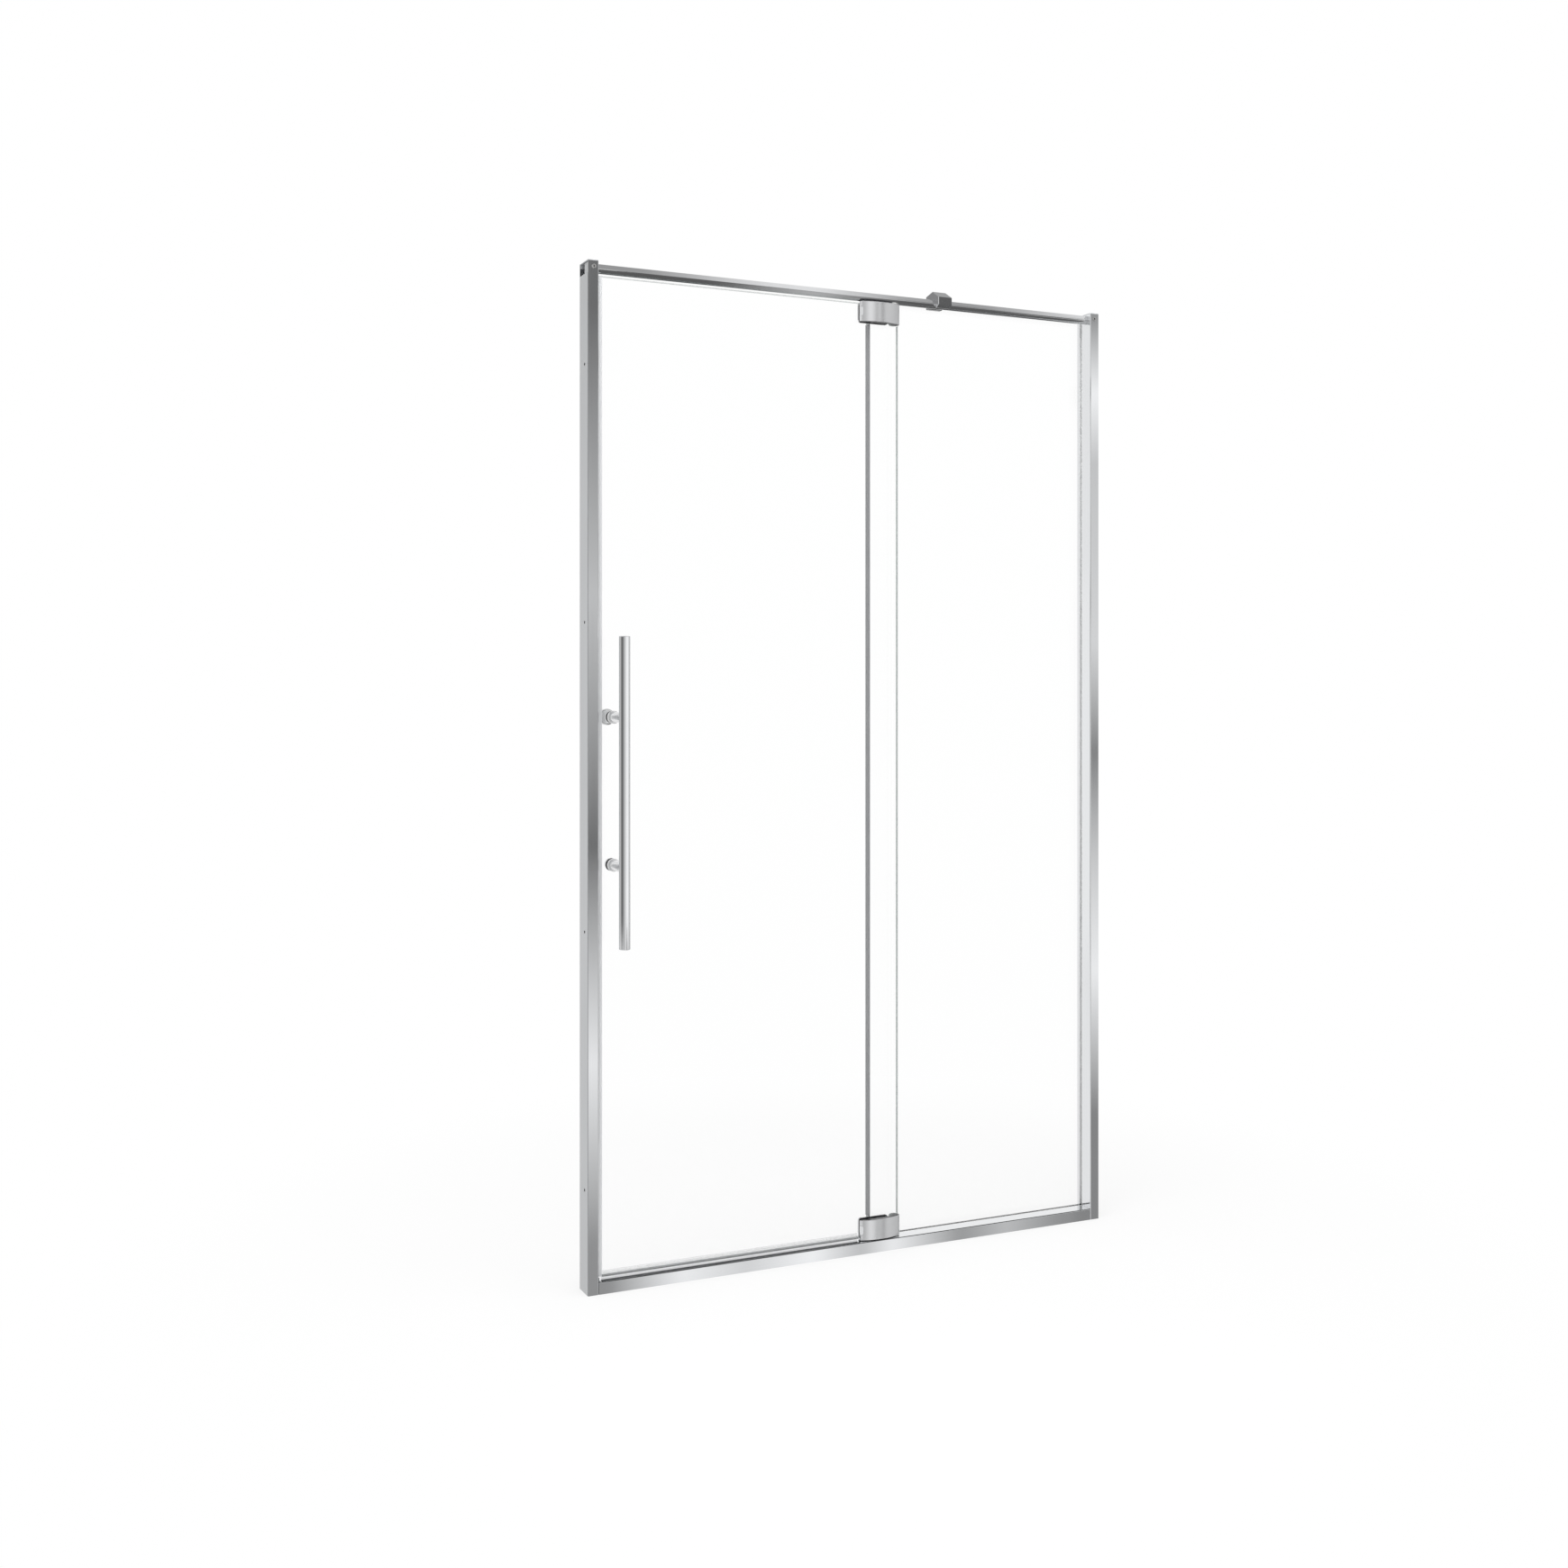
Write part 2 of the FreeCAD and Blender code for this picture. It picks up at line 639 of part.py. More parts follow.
def strike_rail():
    """A T-shaped rail that slides up the jamb's slot; its stem is the stop fin behind the door's edge."""
    slot_end = -jamb_in - jamb_wall - fit_gap
    head = slot_end - rail_head
    outline = [(head, fin_y0 - rail_lip), (slot_end, fin_y0 - rail_lip), (slot_end, fin_y0), (fin_x, fin_y0),
               (fin_x, fin_y1), (slot_end, fin_y1), (slot_end, fin_y1 + rail_lip), (head, fin_y1 + rail_lip)]
    return prism("XY", outline, fin_z0, fin_z1)


def strike_seal_x():
    return seal_end_gap / 2 - jamb_in, fin_x - seal_end_gap / 2


def magnet_span():
    """Both magnet strips face each other at the middle of the stop fin."""
    middle = (fin_x - jamb_in) / 2
    return middle - magnet_width / 2, middle + magnet_width / 2


def magnet_strip(leg_y, clearance, low, high):
    """A magnet strip in the middle of a seal leg that starts at leg_y, or its pocket with a clearance."""
    x0, x1 = magnet_span()
    y0 = leg_y + (magnet_leg - magnet) / 2
    return block(x0 - clearance, x1 + clearance, y0 - clearance, y0 + magnet + clearance, low, high)


def strike_magnet(clearance):
    return magnet_strip(strike_y0, clearance, fin_z0 + seal_end_gap, fin_z1 - seal_end_gap)


def door_magnet(clearance):
    return magnet_strip(half_glass, clearance, door_z0, door_z1)


def strike_seal():
    x0, x1 = strike_seal_x()
    strip = block(x0, x1, strike_y0, fin_y0, fin_z0 + seal_end_gap, fin_z1 - seal_end_gap)
    return strip.cut(strike_magnet(fit_gap))


# Door leaf

def hinge_screw_x():
    first = hinge_x0 + hinge_screw_first
    return [first, first + hinge_screw_step]


def hinge_screw_heights():
    return [hinge_low + hinge_height / 2, hinge_high - hinge_height / 2]


def door_glass():
    """The leaf's outline with both hinge corners notched, drilled for the hinges and the handle."""
    notch_low = hinge_low + hinge_height + notch_clear
    notch_high = hinge_high - hinge_height - notch_clear
    outline = [(door_x0, door_z0), (barrel_edge, door_z0), (barrel_edge, notch_low, notch_corner),
               (door_x1, notch_low), (door_x1, notch_high), (barrel_edge, notch_high, notch_corner),
               (barrel_edge, door_z1), (door_x0, door_z1)]
    leaf = prism("XZ", outline, -half_glass, half_glass)
    rims = edges_at(leaf, "y", -half_glass) + edges_at(leaf, "y", half_glass)
    long_edges = [e for e in rims if e.Length > hinge_reach]
    leaf = leaf.makeChamfer(arris, long_edges)
    holes = [rod("Y", x, z, hinge_glass_hole / 2, -half_glass, half_glass)
             for x in hinge_screw_x() for z in hinge_screw_heights()]
    holes += [rod("Y", handle_x, z, handle_glass_hole / 2, -half_glass, half_glass) for z in post_heights]
    return cut_all(leaf, holes)


# Hinge blocks: drawn with their pivot end at z = 0 and the rest above it

def hinge_outline():
    """The front plate in plan: rounded end, long bow and pivot barrel, three arcs that run together."""
    bow_r = (hinge_crown ** 2 + hinge_bow ** 2 - barrel_r ** 2) / (2 * (hinge_bow - barrel_r))
    bow_centre = V(pivot_x - hinge_crown, bow_r - hinge_bow, 0)
    side = hinge_x0 - bow_centre.x
    rise = bow_centre.y - plate_back
    end_r = (bow_r ** 2 - side ** 2 - rise ** 2) / (2 * (side + bow_r))
    end_centre = V(hinge_x0 + end_r, plate_back, 0)
    barrel_centre = V(pivot_x, 0, 0)
    tip = V(hinge_x0, plate_back, 0)
    end_meet = bow_centre + (end_centre - bow_centre).normalize() * bow_r
    barrel_meet = bow_centre + (barrel_centre - bow_centre).normalize() * bow_r
    root = V(pivot_x - math.sqrt(barrel_r ** 2 - plate_back ** 2), plate_back, 0)
    end_middle = end_centre + ((tip + end_meet) * 0.5 - end_centre).normalize() * end_r
    crown = bow_centre + V(0, -bow_r, 0)
    barrel_middle = barrel_centre + V(0, barrel_r, 0)
    edges = [Part.Arc(tip, end_middle, end_meet), Part.Arc(end_meet, crown, barrel_meet),
             Part.Arc(barrel_meet, barrel_middle, root), Part.LineSegment(root, tip)]
    return Part.Wire([e.toShape() for e in edges]), end_centre, end_r


def pill(width, height, depth):
    """An upright pill-shaped prism, centred on x = z = 0, from y = 0 inwards to y = depth."""
    r = width / 2
    straight = (height - width) / 2
    rise = V(0, 0, straight)
    left, right = V(-r, 0, 0), V(r, 0, 0)
    top = Part.Arc(left + rise, V(0, 0, straight + r), right + rise).toShape()
    bottom = Part.Arc(right - rise, V(0, 0, -straight - r), left - rise).toShape()
    sides = [Part.LineSegment(right + rise, right - rise).toShape(),
             Part.LineSegment(left - rise, left + rise).toShape()]
    return Part.Face(Part.Wire([top, sides[0], bottom, sides[1]])).extrude(V(0, depth, 0))


def on_rounded_end(shape, centre, distance):
    """Turns a shape that faces -Y to the block's rounded end, at a distance from the end's centre line."""
    shape.translate(V(0, -distance, 0))
    shape.rotate(V(0, 0, 0), V(0, 0, 1), -plug_turn)
    shape.translate(V(centre.x, centre.y, hinge_height / 2))
    return shape


def hinge_front():
    wire, end_centre, end_r = hinge_outline()
    plate = Part.Face(wire).extrude(V(0, 0, hinge_height))
    plate = plate.makeChamfer(hinge_edge, edges_at(plate, "z", 0) + edges_at(plate, "z", hinge_height))
    recess = rod("Z", pivot_x, 0, recess_r, 0, bush_recess + bush_flange)
    bore = rod("Z", pivot_x, 0, bush_r + fit_gap, 0, bush_recess + bush_length + bore_spare)
    screws = [rod("Y", x, hinge_height / 2, hinge_screw_dia / 2 + fit_gap,
                  plate_back - hinge_screw_bite, plate_back) for x in hinge_screw_x()]
    pocket = on_rounded_end(pill(plug_width, plug_height, plug_pocket), end_centre, end_r)
    return cut_all(plate, [recess, bore, pocket] + screws)


def hinge_plug():
    centre, end_r = hinge_outline()[1:]
    depth = plug_pocket - plug_sunk
    body = pill(plug_width - 2 * fit_gap, plug_height - 2 * fit_gap, depth)
    body = body.makeChamfer(plug_sunk, edges_at(body, "y", 0))
    return on_rounded_end(body, centre, end_r - plug_sunk)


def hinge_back():
    x0 = hinge_x0 + back_inset
    y0 = half_glass + hinge_gasket
    y1 = y0 + back_plate
    plate = prism("XZ", rectangle(x0, barrel_edge, 0, hinge_height, back_corner), y0, y1)
    plate = plate.makeChamfer(hinge_edge, edges_at(plate, "y", y1))
    return cut_all(plate, [hinge_screw(x, fit_gap) for x in hinge_screw_x()])


def hinge_screw(x, clearance):
    """A countersunk clamp screw from the back plate into the front plate, or its hole with a clearance."""
    back = half_glass + hinge_gasket + back_plate
    shank_r = hinge_screw_dia / 2 + clearance
    head = Part.makeCone(shank_r, hinge_screw_head_dia / 2 + clearance, hinge_screw_sink,
                         V(x, back - hinge_screw_sink, hinge_height / 2), V(0, 1, 0))
    shank = rod("Y", x, hinge_height / 2, shank_r, plate_back - hinge_screw_bite, back - hinge_screw_sink)
    return shank.fuse(head).removeSplitter()


def hinge_gaskets():
    """One liner on each face of the glass."""
    x0 = hinge_x0 + gasket_inset
    low = door_sill_gap - hinge_gap
    outline = rectangle(x0, barrel_edge, low, hinge_height - gasket_inset)
    holes = [rod("Y", x, hinge_height / 2, hinge_screw_dia / 2 + screw_gap, plate_back, -plate_back)
             for x in hinge_screw_x()]
    return [cut_all(prism("XZ", outline, y, y + hinge_gasket), holes) for y in (plate_back, half_glass)]


def hinge_sleeves():
    outer = hinge_glass_hole / 2 - sleeve_gap
    inner = hinge_screw_dia / 2 + screw_gap
    return [ring("Y", x, hinge_height / 2, outer, inner, -half_glass, half_glass) for x in hinge_screw_x()]


def pivot_bush():
    flange = rod("Z", pivot_x, 0, flange_r, bush_recess, bush_recess + bush_flange)
    barrel = rod("Z", pivot_x, 0, bush_r, bush_recess, bush_recess + bush_length)
    return flange.fuse(barrel).removeSplitter().cut(rod("Z", pivot_x, 0, bush_bore_r, 0, hinge_height))


def low_hinge(shapes):
    """Hinge pieces at the sill: the pivot end faces down."""
    return [s.translated(V(0, 0, hinge_low)) for s in shapes]


def high_hinge(shapes):
    """Hinge pieces at the header bar: the pivot end faces up."""
    return [s.mirror(V(0, 0, 0), V(0, 0, 1)).translated(V(0, 0, hinge_high)) for s in shapes]


def top_pivot_pin():
    return rod("Z", pivot_x, 0, pin_r, hinge_high - pin_bite, bar_z + insert_pin_above)


def bottom_pivot_pin():
    return rod("Z", pivot_x, 0, pin_r, sill_wall + seat_floor, hinge_low + pin_bite)


# Pull handle

def handle_bar():
    low = handle_middle - handle_length / 2 + end_cap_disc
    high = handle_middle + handle_length / 2 - end_cap_disc
    tube = ring("Z", handle_x, handle_y, handle_r, handle_r - handle_wall, low, high)
    holes = [rod("Y", handle_x, z, stud_dia / 2 + fit_gap, handle_y, handle_y + handle_r)
             for z in post_heights]
    return cut_all(tube, holes)


def handle_end_caps():
    """A disc with a rounded rim and a plug into the tube, at each end."""
    caps = []
    for side in (-1, 1):
        disc = Part.makeCylinder(handle_r, end_cap_disc)
        disc = disc.makeFillet(end_cap_edge, edges_at(disc, "z", end_cap_disc))
        plug = Part.makeCylinder(handle_r - handle_wall - fit_gap, end_cap_plug, V(0, 0, -end_cap_plug))
        cap = disc.fuse(plug).removeSplitter()
        cap = cap if side > 0 else cap.mirror(V(0, 0, 0), V(0, 0, 1))
        tube_end = handle_middle + side * (handle_length / 2 - end_cap_disc)
        caps.append(cap.translated(V(handle_x, handle_y, tube_end)))
    return caps


def handle_posts():
    """Posts with one end saddled to the handle tube, bored for the stud and for a set screw from below."""
    saddle = rod("Z", handle_x, handle_y, handle_r + fit_gap,
                 handle_middle - handle_length / 2, handle_middle + handle_length / 2)
    posts = []
    for z in post_heights:
        body = rod("Y", handle_x, z, post_dia / 2, handle_y, collar_y)
        bore = rod("Y", handle_x, z, stud_dia / 2 + fit_gap, handle_y, collar_y)
        posts.append(cut_all(body, [saddle, bore, set_screw(z, fit_gap)]))
    return posts


def set_screw(z, clearance):
    return rod("Z", handle_x, handle_y + set_screw_back, set_screw_dia / 2 + clearance,
               z - post_dia / 2, z - stud_dia / 2 - fit_gap)


def handle_collars():
    collars = []
    front = collar_y - collar_width
    for z in post_heights:
        collar = rod("Y", handle_x, z, collar_dia / 2, front, collar_y)
        collar = collar.makeFillet(collar_edge, edges_at(collar, "y", front))
        collars.append(collar.cut(rod("Y", handle_x, z, post_dia / 2 + fit_gap, front, collar_y)))
    return collars


def handle_washers():
    """Soft discs between the glass and the fittings, one on each face at each post."""
    outer = collar_dia / 2 - handle_washer_inset
    inner = stud_dia / 2 + screw_gap
    return [ring("Y", handle_x, z, outer, inner, y, y + handle_washer)
            for z in post_heights for y in (collar_y, half_glass)]


def handle_sleeves():
    outer = handle_glass_hole / 2 - sleeve_gap
    inner = stud_dia / 2 + screw_gap
    return [ring("Y", handle_x, z, outer, inner, -half_glass, half_glass) for z in post_heights]


def handle_studs():
    start = handle_y + handle_r - handle_wall - stud_in_handle
    inside = half_glass + handle_washer
    ends = [inside + stud_in_cap, inside + stud_in_knob]
    return [rod("Y", handle_x, z, stud_dia / 2, start, end) for z, end in zip(post_heights, ends)]


def inside_knob():
    """A turned knob on the upper stud: base, necked shank and rounded head."""
    y0 = half_glass + handle_washer
    y1 = y0 + knob_length
    neck = knob_neck_dia / 2
    outline = [(0, y0), (knob_base_dia / 2, y0), (knob_base_dia / 2, y0 + knob_base, collar_edge),
               (neck, y0 + knob_base), (neck, y1 - knob_head), (knob_dia / 2, y1 - knob_head, knob_edge),
               (knob_dia / 2, y1, knob_edge), (0, y1)]
    knob = Part.Face(loop("XY", outline, 0)).revolve(V(0, 0, 0), V(0, 1, 0), 360)
    knob = Part.Solid(knob) if knob.ShapeType == "Shell" else knob
    knob = knob.translated(V(handle_x, 0, post_heights[1]))
    return knob.cut(rod("Y", handle_x, post_heights[1], stud_dia / 2 + fit_gap, y0, y0 + stud_in_knob))


def lower_back_cap():
    y0 = half_glass + handle_washer
    z = post_heights[0]
    cap = rod("Y", handle_x, z, back_cap_dia / 2, y0, y0 + back_cap)
    cap = cap.makeFillet(back_cap_edge, edges_at(cap, "y", y0 + back_cap))
    return cap.cut(rod("Y", handle_x, z, stud_dia / 2 + fit_gap, y0, y0 + stud_in_cap))


# Door seals

def door_edge_seal():
    """A clip over the leaf's closing edge, with a rounded nose and a magnet strip in its inner leg."""
    nose = door_x0 - seal_nose
    grip = door_x0 + seal_grip
    outer = half_glass + seal_wall
    inner = half_glass + magnet_leg
    outline = [(nose, -outer, seal_nose_round), (grip, -outer), (grip, -half_glass), (door_x0, -half_glass),
               (door_x0, half_glass), (grip, half_glass), (grip, inner), (nose, inner, seal_nose_round)]
    return prism("XY", outline, door_z0, door_z1).cut(door_magnet(fit_gap))


def door_bottom_seal():
    """A clip over the leaf's lower edge with a leaning drip fin that stops just above the sill."""
    outer = half_glass + seal_wall
    base = door_z0 - seal_wall
    top = door_z0 + seal_grip
    fin = drip_from_middle + seal_wall
    fin_low = sill_height + drip_gap
    outline = [(-outer, base), (-outer, top), (-half_glass, top), (-half_glass, door_z0),
               (half_glass, door_z0), (half_glass, top), (outer, top), (outer, base),
               (fin, base), (fin + drip_lean, fin_low),
               (drip_from_middle + drip_lean, fin_low), (drip_from_middle, base)]
    return prism("YZ", outline, door_x0 + seal_grip + seal_end_gap, hinge_x0 - seal_end_gap)


# All pieces, by name

pieces = {
    "right_wall_channel": [wall_channel()],
    "left_wall_channel": [mirror_x(wall_channel())],
    "right_jamb": [right_jamb()],
    "left_jamb": [left_jamb()],
    "right_jamb_cap": [jamb_cap()],
    "left_jamb_cap": [mirror_x(jamb_cap())],
    "jamb_lock_screws": [s for screw in lock_screws() for s in both_sides(screw)],
    "header_bar": [header_bar()],
    "bar_end_blocks": both_sides(bar_end_block()),
    "bar_end_screws": both_sides(bar_end_screw()),
    "top_pivot_insert": [top_pivot_insert()],
    "top_pivot_pin": [top_pivot_pin()],
    "sill": [sill()],
    "sill_corner_keys": both_sides(corner_key()),
    "corner_key_screws": both_sides(key_screw()),
    "sill_infill": [sill_infill()],
    "bottom_pivot_seat": [pivot_seat()],
    "pivot_seat_screws": [seat_screw(x, 0) for x in seat_screw_places()],
    "bottom_pivot_pin": [bottom_pivot_pin()],
    "thrust_washer": [thrust_washer()],
    "fixed_glass": [fixed_glass()],
    "fixed_edge_seal": [fixed_edge_seal()],
    "jamb_glazing_gaskets": jamb_gaskets(),
    "sill_glazing_gaskets": sill_gaskets(),
    "setting_blocks": setting_blocks(),
    "bar_clamp": [bar_clamp()],
    "clamp_bar_pad": [clamp_bar_pad()],
    "clamp_glass_pad": [clamp_glass_pad()],
    "clamp_grub_screws": clamp_screws(),
    "strike_rail": [strike_rail()],
    "strike_seal": [strike_seal()],
    "strike_magnet": [strike_magnet(0)],
    "door_glass": [door_glass()],
    "top_hinge_front": high_hinge([hinge_front()]),
    "bottom_hinge_front": low_hinge([hinge_front()]),
    "top_hinge_back": high_hinge([hinge_back()]),
    "bottom_hinge_back": low_hinge([hinge_back()]),
    "top_hinge_gaskets": high_hinge(hinge_gaskets()),
    "bottom_hinge_gaskets": low_hinge(hinge_gaskets()),
    "hinge_screws": [s for x in hinge_screw_x()
                     for s in low_hinge([hinge_screw(x, 0)]) + high_hinge([hinge_screw(x, 0)])],
    "hinge_glass_sleeves": low_hinge(hinge_sleeves()) + high_hinge(hinge_sleeves()),
    "hinge_end_plugs": low_hinge([hinge_plug()]) + high_hinge([hinge_plug()]),
    "top_pivot_bush": high_hinge([pivot_bush()]),
    "bottom_pivot_bush": low_hinge([pivot_bush()]),
    "handle_bar": [handle_bar()],
    "handle_end_caps": handle_end_caps(),
    "handle_posts": handle_posts(),
    "handle_collars": handle_collars(),
    "handle_washers": handle_washers(),
    "handle_glass_sleeves": handle_sleeves(),
    "handle_studs": handle_studs(),
    "handle_set_screws": [set_screw(z, 0) for z in post_heights],
    "inside_knob": [inside_knob()],
    "lower_back_cap": [lower_back_cap()],
    "door_edge_seal": [door_edge_seal()],
    "door_edge_magnet": [door_magnet(0)],
    "door_bottom_seal": [door_bottom_seal()],
}

os.makedirs("parts", exist_ok=True)
for name, solids in pieces.items():
    shape = solids[0] if len(solids) == 1 else Part.makeCompound(solids)
    shape.exportStep(f"parts/{name}.step")
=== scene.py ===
import bmesh
import bpy
import json
import math
from mathutils import Matrix, Vector


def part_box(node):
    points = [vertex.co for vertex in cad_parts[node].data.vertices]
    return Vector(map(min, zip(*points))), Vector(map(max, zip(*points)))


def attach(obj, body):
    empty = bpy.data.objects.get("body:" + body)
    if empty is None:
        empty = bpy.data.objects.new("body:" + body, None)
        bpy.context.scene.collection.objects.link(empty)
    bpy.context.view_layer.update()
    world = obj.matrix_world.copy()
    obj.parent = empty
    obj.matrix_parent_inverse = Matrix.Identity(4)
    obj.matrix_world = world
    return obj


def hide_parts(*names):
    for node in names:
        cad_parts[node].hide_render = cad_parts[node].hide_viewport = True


# The look of a frameless pivot shower door set: polished aluminium jambs and sill, chrome header bar, hinge
# blocks and pull, clear glass with ground edges, soft seals and stainless screws. Lengths are metres.

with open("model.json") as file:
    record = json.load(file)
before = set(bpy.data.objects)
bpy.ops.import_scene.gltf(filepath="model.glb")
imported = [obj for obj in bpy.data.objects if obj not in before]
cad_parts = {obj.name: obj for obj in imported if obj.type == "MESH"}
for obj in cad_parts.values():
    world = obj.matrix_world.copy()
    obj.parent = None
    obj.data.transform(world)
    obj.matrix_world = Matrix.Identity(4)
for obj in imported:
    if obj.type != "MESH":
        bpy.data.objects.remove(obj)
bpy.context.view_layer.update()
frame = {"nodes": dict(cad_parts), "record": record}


def rgb(red, green, blue):
    return (red, green, blue, 1.0)


def grey(level):
    return rgb(level, level, level)


# Panes
PANE_HALF = 0.004             # half the thickness of a pane
PANE_MIDDLES = {"door_glass": 0.0, "fixed_glass": 0.016}
EDGE_SKIN = 0.0001            # a pane's faces are within this of its full thickness
PANE_MIRROR = 0.02, 0.9, 5.0  # share that is mirrored face on, what a low angle adds, and how late it adds it
PANE_TONES = rgb(0.93, 0.96, 0.95), rgb(0.97, 0.99, 0.985)
RIM_TONES = rgb(0.26, 0.31, 0.30), rgb(0.36, 0.42, 0.405)
RIM_ALPHA, RIM_LESS = 0.75, 0.55    # how dense an upright edge looks, and how much less a lying one
RIM_ROUGHNESS = 0.24

# Nodes whose finish isn't their slot's usual one
LYING = ("sill", "sill_infill")
OWN_FINISH = {
    "door_bottom_seal": "drip_vinyl",
    "jamb_glazing_gaskets": "wedge_vinyl",
    "sill_glazing_gaskets": "wedge_vinyl",
    "clamp_bar_pad": "dark_nylon",
    "handle_posts": "soft_chrome",
    "handle_collars": "soft_chrome",
    "inside_knob": "soft_chrome",
    "lower_back_cap": "soft_chrome",
}

# Grain: scales of the noise in a finish, and depths of its relief
DIE_LINES, DIE_RELIEF = 900.0, 0.000002
DIE_STRETCH = 0.004           # scale along the die lines, as a share of that across them
DIE_SHARE, SHEEN_SHARE = 0.6, 0.4    # of an extrusion's change in gloss
SHEEN = 6.0
WIPES, WIPE_STRETCH = 38.0, (1.0, 1.0, 0.35)
WAVES, WAVE_RELIEF = 70.0, 0.000012
BLOCK_WIPES, BLOCK_STRETCH = 45.0, (1.0, 1.0, 0.3)
TOOL_MARKS, TOOL_RELIEF = 1400.0, 0.000006
TOOL_CLOUDS = 60.0
MOULD_GRAIN, MOULD_CLOUDS = 1800.0, 18.0
PLASTIC_RELIEF, VINYL_RELIEF, RUBBER_RELIEF = 0.00001, 0.000006, 0.00002
PANE_FILM, RIM_GRAIN = 9.0, 1500.0
FLOOR_CLOUDS = 3.0

# Marked places
END_FACE = 0.9, 0.1           # how far up or down an end face looks, and how softly that begins
END_FACE_DULL = 0.12              # roughness added on the ends that look up or down, which also get painted shade
DRIP_WEB = 0.0276, 0.0302     # lowest and highest of the web under the door's glass, where shade is painted
DRIP_SOFT = 0.0003
DRIP_ALPHA = 0.2, 0.65        # how dense the drip seal looks, and what its web adds
ARRIS_BACK, ARRIS_DROP = 0.0018, 0.0011    # the band of painted shade along the sill's front edge, from its front and from its top
ARRIS_SPARE = 0.001           # how far that edge's box reaches past the sill
ARRIS_SOFT = 0.0002
# colour of the painted shade line on the sill's front edge
ARRIS_SHADE = rgb(0.17, 0.172, 0.178)

# Screws
TURNS = 24                    # sides of a round screw
CROSS, HEXAGON = 12, 6        # sides of a driver's hole
PINCH = 0.366                 # draws every third corner of a twelve-sided ring in to make a plain cross
PAN_ROUND = [(1.0, 0.55), (0.93, 0.22), (0.78, 0.0)]    # a pan head's edge, in parts of its radius and height
GRUB_LEAD = 0.0004
SAME_HEIGHT = 1e-7
FRONT, BACK, DOWN = (0, -1, 0), (0, 1, 0), (0, 0, -1)

# The studio as metal mirrors it, in degrees. A turn goes from the front towards the right, a height from the
# horizon up, and a side from the set's middle plane towards the right. Levels are grey levels, graded from
# stop to stop.
FLOOR = [(-90, 0.55), (13.0, 0.55), (18.0, 0.11), (22.8, 0.11), (25.9, 0.50), (28.4, 0.11), (35.5, 0.11),
         (41.0, 0.55), (90, 0.55)]
SKY = [(-90, 0.50), (-36, 0.70), (-33, 0.60), (-31, 0.30), (-20, 0.30), (12, 0.60), (19, 0.34), (20.5, 0.36),
       (24.4, 0.82), (26.0, 0.85), (28.9, 0.42), (31.3, 0.36), (33.8, 0.68), (35.0, 0.85), (40, 0.60),
       (90, 0.60)]

# Screens around the set: the height that each begins at, its soft edge, and its levels along turns or sides.
SCREENS = [
    (-24.0, 3.0, "turn",
     [(-180, 0.95), (-135, 0.95), (-110, 0.80), (-45, 0.80), (-12, 0.50), (-3, 0.45), (8, 0.95), (16, 0.70),
      (46, 0.64), (74, 0.48), (110, 0.50), (145, 0.95), (180, 0.95)]),
    (-8.5, 2.0, "turn",
     [(-180, 0.95), (-142, 1.00), (-128, 0.60), (-101, 0.39), (-79, 0.15), (-59, 0.16), (-40, 0.37),
      (-4, 0.74), (30, 1.10), (42, 1.05), (56, 0.90), (82, 0.62), (116, 0.58), (150, 0.95), (180, 0.95)]),
    (3.5, 2.0, "turn",
     [(-180, 0.95), (-135, 0.95), (-110, 0.80), (-45, 0.80), (-12, 0.58), (-3, 0.48), (8, 1.00), (16, 0.70),
      (46, 0.64), (74, 0.48), (110, 0.50), (145, 0.95), (180, 0.95)]),
    (23.0, 4.0, "side", SKY),
]

# Boards in front of the screens: turns, heights, soft edge, how much the board rises per degree of turn, and
# levels along one of the three ways. A later board hides an earlier one.
BOARDS = [
    ((20.0, 36.0), (4.0, 26.0), 1.0, 0.0, "side", SKY),
    ((20.0, 35.2), (-26.0, -19.6), 1.0, 0.0, "side", FLOOR),
    ((20.0, 35.2), (-14.6, -8.0), 1.0, 0.0, "side", FLOOR),
    ((18.6, 36.8), (-18.9, -16.9), 0.6, 0.15, "turn",
     [(19.6, 0.28), (22.3, 1.05), (24.4, 0.80), (26.6, 1.10), (28.2, 0.62), (29.2, 1.05), (31.4, 0.38),
      (32.9, 0.62), (34.6, 0.35)]),
    ((18.8, 20.0), (-19.5, 18.0), 0.4, 0.0, "height",
     [(-17.7, 0.33), (-12.2, 1.00), (-5.2, 0.16), (3.0, 0.62), (12.3, 0.17)]),
    ((35.1, 36.4), (-19.5, 18.0), 0.4, 0.0, "height",
     [(-13.5, 0.28), (-9.1, 1.05), (-5.6, 0.70), (-2.1, 0.26), (1.4, 0.79), (7.2, 0.67), (9.4, 1.10),
      (11.8, 0.34)]),
    ((29.4, 32.6), (9.0, 16.0), 1.5, 0.0, "height", [(9.0, 0.12), (16.0, 0.12)]),
    ((-153.5, -146.5), (8.0, 17.0), 2.0, 0.0, "height", [(8.0, 0.26), (17.0, 0.26)]),
    ((-162.4, -159.2), (-25.0, 25.0), 0.8, 0.0, "height", [(-25.0, 0.50), (25.0, 0.50)]),
    ((137.0, 169.0), (11.0, 24.0), 4.0, 0.0, "height", [(11.0, 1.00), (24.0, 1.00)]),
    ((-33.0, -23.0), (5.0, 30.0), 2.0, 0.0, "height", [(5.0, 0.25), (30.0, 0.25)]),
    ((142.0, 156.0), (-18.0, -6.0), 2.0, 0.0, "height", [(-18.0, 0.36), (-6.0, 0.36)]),
]
MIDDLE_TURN = 27.5            # a rising board has its stated heights at this turn

